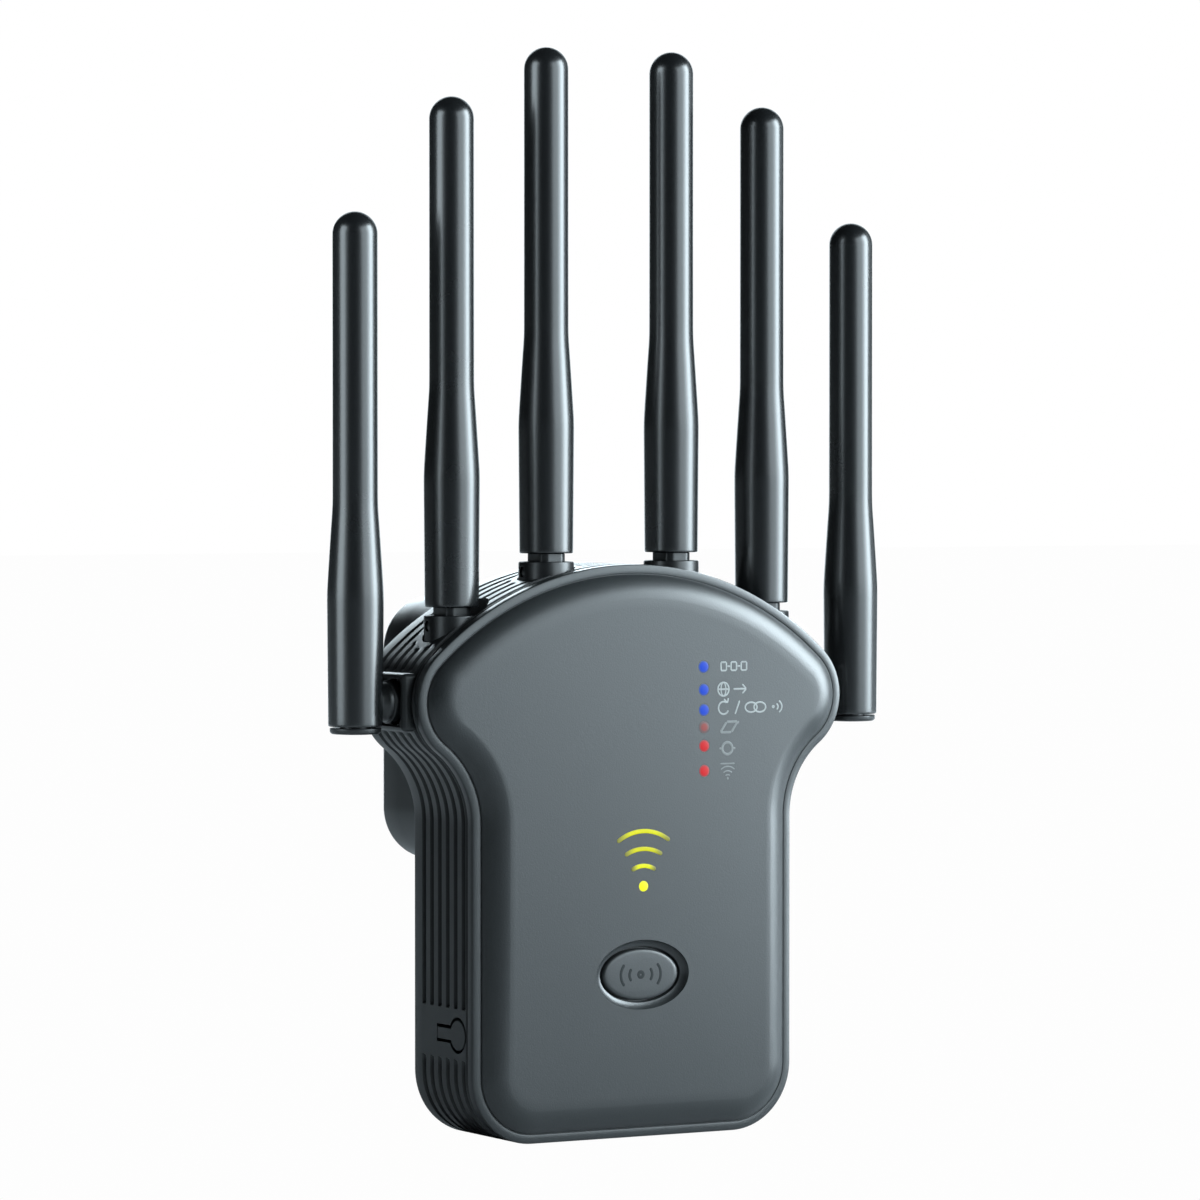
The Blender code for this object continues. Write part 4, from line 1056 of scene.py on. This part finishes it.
def stick_radius(height):
    """The line through the stations, averaged with a cos^2 weight so that it flows."""
    near = np.linspace(-FLOW, FLOW, 33)
    weight = np.cos(near / FLOW * np.pi / 2) ** 2
    sampled = np.interp(height[:, None] + near, STATIONS[:, 0], STATIONS[:, 1])
    return sampled @ weight / weight.sum()


def stick_profile():
    """The bore, the rounded foot, the flare, the slim length and the tip."""
    tip = np.linspace(0.0, np.pi / 2, 14)
    heights = np.concatenate([np.linspace(0.45, 50.0, 60), np.linspace(52.0, STICK_LONG - TIP_R, 14)])
    body = np.column_stack([stick_radius(heights), heights])
    bore = [(0.0, 9.0), (3.2, 9.0), (3.2, 0.25), (3.45, 0.0)]
    foot = [(FOOT_R - 0.2, 0.0), (FOOT_R - 0.06, 0.06), (FOOT_R - 0.01, 0.18)]
    dome = np.column_stack([TIP_R * np.cos(tip), STICK_LONG - TIP_R + TIP_R * np.sin(tip)])
    return np.vstack([bore, foot, body, dome[1:]])


PROFILE = stick_profile()


def stick(number, x, seam, body):
    """One antenna stick on its foot."""
    add(f"antenna_{number}_stick", [turned(PROFILE, (x, ANTENNA_Y, seam), "Z", 72)], stick_black, body,
        "antenna_black", [f"antenna_{number}_tube"], sharp=45.0)


# %% [markdown]
# A top antenna stands on a seat that swivels in the case, and leans on a pin through the
# seat's pocket. The tongue in the pocket has a round lower end. The section of the
# tongue at each height is the smallest of a circle, a flat pair of sides and the round
# end's own width, taken along each bearing.

# %% Forks and tongues
EAR_UP, BASE_R, FLANGE_R = 2.0, 5.35, 6.2
TONGUE_HALF, TONGUE_R, TONGUE_END, PIN_R = 2.7, 3.7, 3.4, 0.9
POCKET_HALF, POCKET_DEEP = (3.0, 4.1), 5.2


def fork(number, x, pivot_z, body):
    """A turned post with a pocket for the tongue, drilled for the pin."""
    profile = [(0.0, EAR_UP), (BASE_R - 0.3, EAR_UP), (BASE_R - 0.08, EAR_UP - 0.1), (BASE_R, EAR_UP - 0.32),
               (BASE_R, -BASE_DOWN), (FLANGE_R - 0.2, -BASE_DOWN), (FLANGE_R, -BASE_DOWN - 0.2),
               (FLANGE_R, -BASE_DOWN - 1.5), (0.0, -BASE_DOWN - 1.5)]
    centre = (x, ANTENNA_Y, pivot_z)
    made = add(f"antenna_{number}_fork", [turned(profile, centre)], joint_black, body, "antenna_black",
               [f"antenna_{number}_base"])
    across, along = POCKET_HALF
    carve(made, [block((x - across, ANTENNA_Y - along, pivot_z - POCKET_DEEP),
                       (x + across, ANTENNA_Y + along, pivot_z + 6.0))])
    carve(made, [turned([(1.6, -13.0), (1.6, -4.0)], centre, "Z", 32)])
    carve(made, [turned([(PIN_R + 0.15, -8.0), (PIN_R + 0.15, 8.0)], centre, "X", 32)])
    shade_smooth(made, 35.0)
    soften(made, 0.08)


def tongue_shell(x, pivot_z):
    """Bearing by bearing, the nearest of circle, flat sides and round end."""
    bearing = np.linspace(0.0, 2.0 * np.pi, 96, endpoint=False)
    low = np.linspace(-np.pi / 2 * 0.93, 0.0, 14)
    high = (0.8, 1.8, 2.6, FOOT_UP - 0.16, FOOT_UP - 0.02)
    up = np.concatenate([TONGUE_END * np.sin(low), high])
    half_y = np.concatenate([TONGUE_END * np.cos(low), np.full(5, TONGUE_END)])
    slim = np.concatenate([np.zeros(18), [0.12]])
    flat = (TONGUE_HALF - slim[:, None]) / np.maximum(np.abs(np.cos(bearing)), 1e-9)
    end = (half_y - slim)[:, None] / np.maximum(np.abs(np.sin(bearing)), 1e-9)
    reach = np.minimum(np.minimum(flat, end), TONGUE_R - slim[:, None])
    grid = np.stack([x + reach * np.cos(bearing), ANTENNA_Y + reach * np.sin(bearing),
                     pivot_z + np.repeat(up[:, None], 96, axis=1)], axis=-1)
    return shell(grid)


def tongue_piece(number, x, pivot_z, body):
    """The tongue, its shank up into the stick, and the pin through it."""
    centre = (x, ANTENNA_Y, pivot_z)
    shank = [(0.0, 2.0), (2.6, 2.0), (2.6, FOOT_UP + 7.6), (2.2, FOOT_UP + 8.0), (0.0, FOOT_UP + 8.0)]
    pin = [(0.0, -5.05), (PIN_R - 0.2, -5.05), (PIN_R, -4.9), (PIN_R, 4.9), (PIN_R - 0.2, 5.05), (0.0, 5.05)]
    shells = [tongue_shell(x, pivot_z), turned(shank, centre, "Z", 40), turned(pin, centre, "X", 32)]
    add(f"antenna_{number}_tongue", shells, joint_black, body, "antenna_black",
        [f"antenna_{number}_knuckle"])


for number, (x, seam) in TOP_ANTENNAS.items():
    fork(number, x, seam - FOOT_UP, f"antenna_{number}_seat")
    tongue_piece(number, x, seam - FOOT_UP, f"antenna_{number}_arm")
    stick(number, x, seam, f"antenna_{number}_arm")
print("top antennas", len(TOP_ANTENNAS))

# %% [markdown]
# The outer two antennas hang on elbows that turn in the side mounts. An elbow is one
# profile turned about the line through both mounts: a neck, a barrel with two fine
# grooves, and the flange that holds it inside. A cap closes the stick's open foot.

# %% Elbows
ELBOW = ((0.0, 2.0), (3.0, 2.0), (3.0, 4.6), (3.6, 5.4), (3.75, 5.9), (3.75, 6.3),
         (3.95, 6.42), (4.1, 6.6), (4.1, 8.0), (3.85, 8.15), (3.85, 8.45), (4.1, 8.6),
         (4.1, 12.45), (4.8, 12.45), (5.0, 12.6), (5.0, 13.4), (4.8, 13.55), (0.0, 13.55))
FOOT_CAP = ((0.0, 0.9), (2.9, 0.9), (2.9, -0.3), (4.75, -0.3), (4.86, -0.4),
            (4.86, -0.95), (4.75, -1.2), (4.45, -1.42), (3.2, -1.5), (0.0, -1.5))
for number, side in ((1, -1), (6, 1)):
    body = f"antenna_{number}_arm"
    x = side * SIDE_X
    stick(number, x, SIDE_SEAM_Z, body)
    inward = [(radius, -side * out) for radius, out in ELBOW]
    shank = [(0.0, -3.1), (2.9, -3.1), (2.9, 7.5), (0.0, 7.5)]
    add(f"antenna_{number}_pivot_arm", [turned(inward, (x, ANTENNA_Y, SIDE_PIVOT_Z), "X"),
                                        turned(shank, (x, ANTENNA_Y, SIDE_PIVOT_Z), "Z", 40)],
        joint_black, body, "antenna_black", [f"antenna_{number}_elbow"])
    add(f"antenna_{number}_foot_cap", [turned(FOOT_CAP, (x, ANTENNA_Y, SIDE_SEAM_Z), "Z", 72)],
        joint_black, body, "antenna_black", [f"antenna_{number}_end_cap"])

# %% [markdown]
# ## Plug side
# The plug block is closed by a plate with a shallow sunken field, and two flat blades
# come through it, each with a rounded tip and the small hole that a socket's spring
# clicks into. Four screws hold the case to the cover.

# %% Plug plate and blades
BLADE_SPACING, BLADE_WIDE, BLADE_THICK = 12.7, 6.35, 1.5


def plate_layers():
    """Rounded squares from the inside face to the chamfered outside face and its field."""
    spots = ((23.5, 8.0, 52.6), (23.5, 8.0, 54.75), (23.25, 7.75, 55.0),
             (19.0, 6.0, 55.0), (18.7, 5.7, 54.7))
    return np.stack([square_ring(*spot) for spot in spots])


plate = add("plug_cover", [shell(plate_layers())], plug_black, "casing", "casing_black", ["plug_plate"])
slots = []
for side in (-1, 1):
    x = side * BLADE_SPACING / 2
    slots.append(block((x - 1.05, 50.0, PLUG_Z - 3.5), (x + 1.05, 58.0, PLUG_Z + 3.5)))
carve(plate, slots)
shade_smooth(plate, 32.0)


def blade_shell(x):
    """A flat bar whose section is a thin rounded rectangle, drawn in towards its tip."""
    turn = np.linspace(0.0, 2.0 * np.pi, 48, endpoint=False)
    power = 0.22
    ux = np.sign(np.cos(turn)) * np.abs(np.cos(turn)) ** power
    uz = np.sign(np.sin(turn)) * np.abs(np.sin(turn)) ** power
    along = np.array((47.5, 50.0, 54.0, 58.0, 62.0, 66.0, 68.6, 70.0, 70.9, 71.35, 71.5))
    slim_z = np.array((0.0, 0.0, 0.0, 0.0, 0.0, 0.0, 0.05, 0.35, 0.85, 1.3, 1.75))
    slim_x = np.array((0.0, 0.0, 0.0, 0.0, 0.0, 0.0, 0.02, 0.12, 0.28, 0.42, 0.55))
    half_x = BLADE_THICK / 2 - slim_x[:, None]
    half_z = BLADE_WIDE / 2 - slim_z[:, None]
    grid = np.stack([x + half_x * ux, np.repeat(along[:, None], 48, axis=1), PLUG_Z + half_z * uz], axis=-1)
    return shell(grid)


for name, side in (("left", -1), ("right", 1)):
    x = side * BLADE_SPACING / 2
    blade = add(f"blade_{name}", [blade_shell(x)], nickel, "casing", "nickel", [f"plug_blade_{name}"])
    carve(blade, [turned([(1.55, -2.0), (1.55, 2.0)], (x, PLUG_BACK + 11.7, PLUG_Z), "X", 40)])
    shade_smooth(blade, 32.0)

# %% Screws
SCREW = ((0.0, 23.35), (1.6, 23.32), (2.15, 23.2), (2.4, 22.95), (2.4, 22.7),
         (1.2, 22.5), (1.2, 11.8), (0.7, 11.4), (0.0, 11.4))
for number, (x, z) in enumerate(SCREWS, 1):
    screw = add(f"case_screw_{number}", [turned(SCREW, (x, 0.0, z), "Y", 40)], nickel, "casing", "nickel",
                [f"cover_screw_{number}"])
    carve(screw, [block((x - 1.35, 22.75, z - 0.28), (x + 1.35, 24.0, z + 0.28))])
    carve(screw, [block((x - 0.28, 22.75, z - 1.35), (x + 0.28, 24.0, z + 1.35))])
    shade_smooth(screw, 32.0)
print("plug side done")

# %% [markdown]
# ## Inside
# The parts on the boards keep the shapes that they have in the moving model. Each gets
# its own finish: green boards with fine tracks, tinned shields, an extruded heat sink,
# sleeves and jackets. Each network socket gains its eight gold wires.

# %% Inside finishes


def board_finish():
    """Solder mask over tracks: a brick pattern whose joints stand for the tracks."""
    shade, tree, shader, where = start("solder_mask")
    weave = tree.nodes.new("ShaderNodeTexBrick")
    weave.inputs["Scale"].default_value = 420.0
    weave.inputs["Mortar Size"].default_value = 0.16
    weave.inputs["Color1"].default_value = (0.010, 0.075, 0.032, 1.0)
    weave.inputs["Color2"].default_value = (0.012, 0.090, 0.040, 1.0)
    weave.inputs["Mortar"].default_value = (0.030, 0.160, 0.075, 1.0)
    turn = tree.nodes.new("ShaderNodeMapping")
    turn.inputs["Rotation"].default_value = (math.radians(90.0), 0.0, 0.0)
    tree.links.new(where, turn.inputs["Vector"])
    tree.links.new(turn.outputs[0], weave.inputs["Vector"])
    tree.links.new(weave.outputs["Color"], shader.inputs["Base Color"])
    gloss = use(tree, GLOSS, where, Amount=0.1)
    tree.links.new(reckon(tree, "ADD", gloss["Drift"], 0.32, clamp=True), shader.inputs["Roughness"])
    bump(tree, shader, weave.outputs["Fac"], 0.00002, 0.6)
    return shade


FINISHES = {
    "casing_grey": rib_grey, "casing_black": plug_black, "nickel": nickel, "tin": tin,
    "aluminium": aluminium, "copper": copper, "board_green": board_finish(), "antenna_black": joint_black,
    "switch_black": plastic("switch_body", (0.012, 0.012, 0.012), (0.022, 0.022, 0.022), 0.45),
    "can_black": plastic("can_sleeve", (0.018, 0.018, 0.03), (0.03, 0.03, 0.045), 0.3, grain=1500.0),
    "tape_yellow": plastic("winding_tape", (0.55, 0.34, 0.05), (0.68, 0.45, 0.09), 0.4,
                           grain=1200.0, depth=0.00003),
    "ceramic": plastic("ceramic_body", (0.62, 0.60, 0.54), (0.74, 0.72, 0.66), 0.42, grain=1800.0),
    "coax_grey": plastic("lead_jacket", (0.16, 0.16, 0.17), (0.24, 0.24, 0.25), 0.5, grain=2200.0),
    "clear_guide": plastic("clear_moulding", (0.60, 0.64, 0.67), (0.72, 0.76, 0.79), 0.18, drift=0.08),
}
for subpart in frame["record"]["subparts"]:
    node = frame["nodes"][subpart["node"]]
    for place_slot in node.material_slots:
        place_slot.material = FINISHES[subpart["material_slot"]]

# %% Socket wires


def wire(points, radius, steps=8):
    """A round section carried along a path in the y, z plane."""
    points = np.asarray(points, float)
    slope = np.gradient(points, axis=0)
    slope /= np.linalg.norm(slope, axis=1, keepdims=True)
    across = np.array((1.0, 0.0, 0.0))
    up = np.cross(slope, across)
    turn = np.linspace(0.0, 2.0 * np.pi, steps, endpoint=False)
    around_it = np.cos(turn)[:, None] * across + np.sin(turn)[:, None] * up[:, None, :]
    return shell(points[:, None, :] + radius * around_it)


for name, socket_x in (("wan", -SOCKET_X), ("lan", SOCKET_X)):
    wires = []
    for step in range(8):
        x = socket_x + (step - 3.5) * 1.02
        t = np.linspace(0.0, 1.0, 10)
        bend = np.column_stack([np.full(10, x), 10.75 + 2.6 * t**1.5, 2.2 + 9.0 * t])
        wires.append(wire(bend, 0.2))
    add(f"{name}_contacts", wires, gold, "casing", "tin")

# %% [markdown]
# ## Floor
# A plain pale sheet under the object. To the camera it glows as a lit table does, and is
# nearly as white as what is behind it, so only a very faint line shows where it ends. To
# the object it is a pale, dull surface that also glows a little behind the object.

# %% Floor
FLOOR_HALF = 6.0
low_corner = np.min([list(corner) for corner in cad_box], axis=0)
floor_mesh = bpy.data.meshes.new("floor")
corners = np.array([(-1, -1), (1, -1), (1, 1), (-1, 1)]) * FLOOR_HALF
floor_mesh.from_pydata([(x, y, float(low_corner[2]) - 0.0002) for x, y in corners], [], [(0, 1, 2, 3)])
floor = bpy.data.objects.new("floor", floor_mesh)
scene.collection.objects.link(floor)
floor_shade, tree, shader, where = start("pale_floor")
tone = noise(tree, where, 3.0, 2.0)
tree.links.new(mix(tree, tone, (0.42, 0.43, 0.44), (0.46, 0.47, 0.48)), shader.inputs["Base Color"])
shader.inputs["Roughness"].default_value = 0.9
lit = tree.nodes.new("ShaderNodeEmission")
lit.inputs["Strength"].default_value = 0.985
apart = tree.nodes.new("ShaderNodeSeparateXYZ")
tree.links.new(where, apart.inputs[0])
behind = tree.nodes.new("ShaderNodeMapRange")
behind.inputs["From Min"].default_value = 0.0
behind.inputs["From Max"].default_value = 0.5
behind.inputs["To Max"].default_value = 0.2
tree.links.new(apart.outputs["Y"], behind.inputs["Value"])
tree.links.new(behind.outputs[0], shader.inputs["Emission Strength"])
shader.inputs["Emission Color"].default_value = (*COOL, 1.0)
seen_by = tree.nodes.new("ShaderNodeLightPath")
either = tree.nodes.new("ShaderNodeMixShader")
tree.links.new(seen_by.outputs["Is Camera Ray"], either.inputs["Fac"])
tree.links.new(shader.outputs[0], either.inputs[1])
tree.links.new(lit.outputs[0], either.inputs[2])
tree.links.new(either.outputs[0], tree.nodes["Material Output"].inputs["Surface"])
floor_mesh.materials.append(floor_shade)
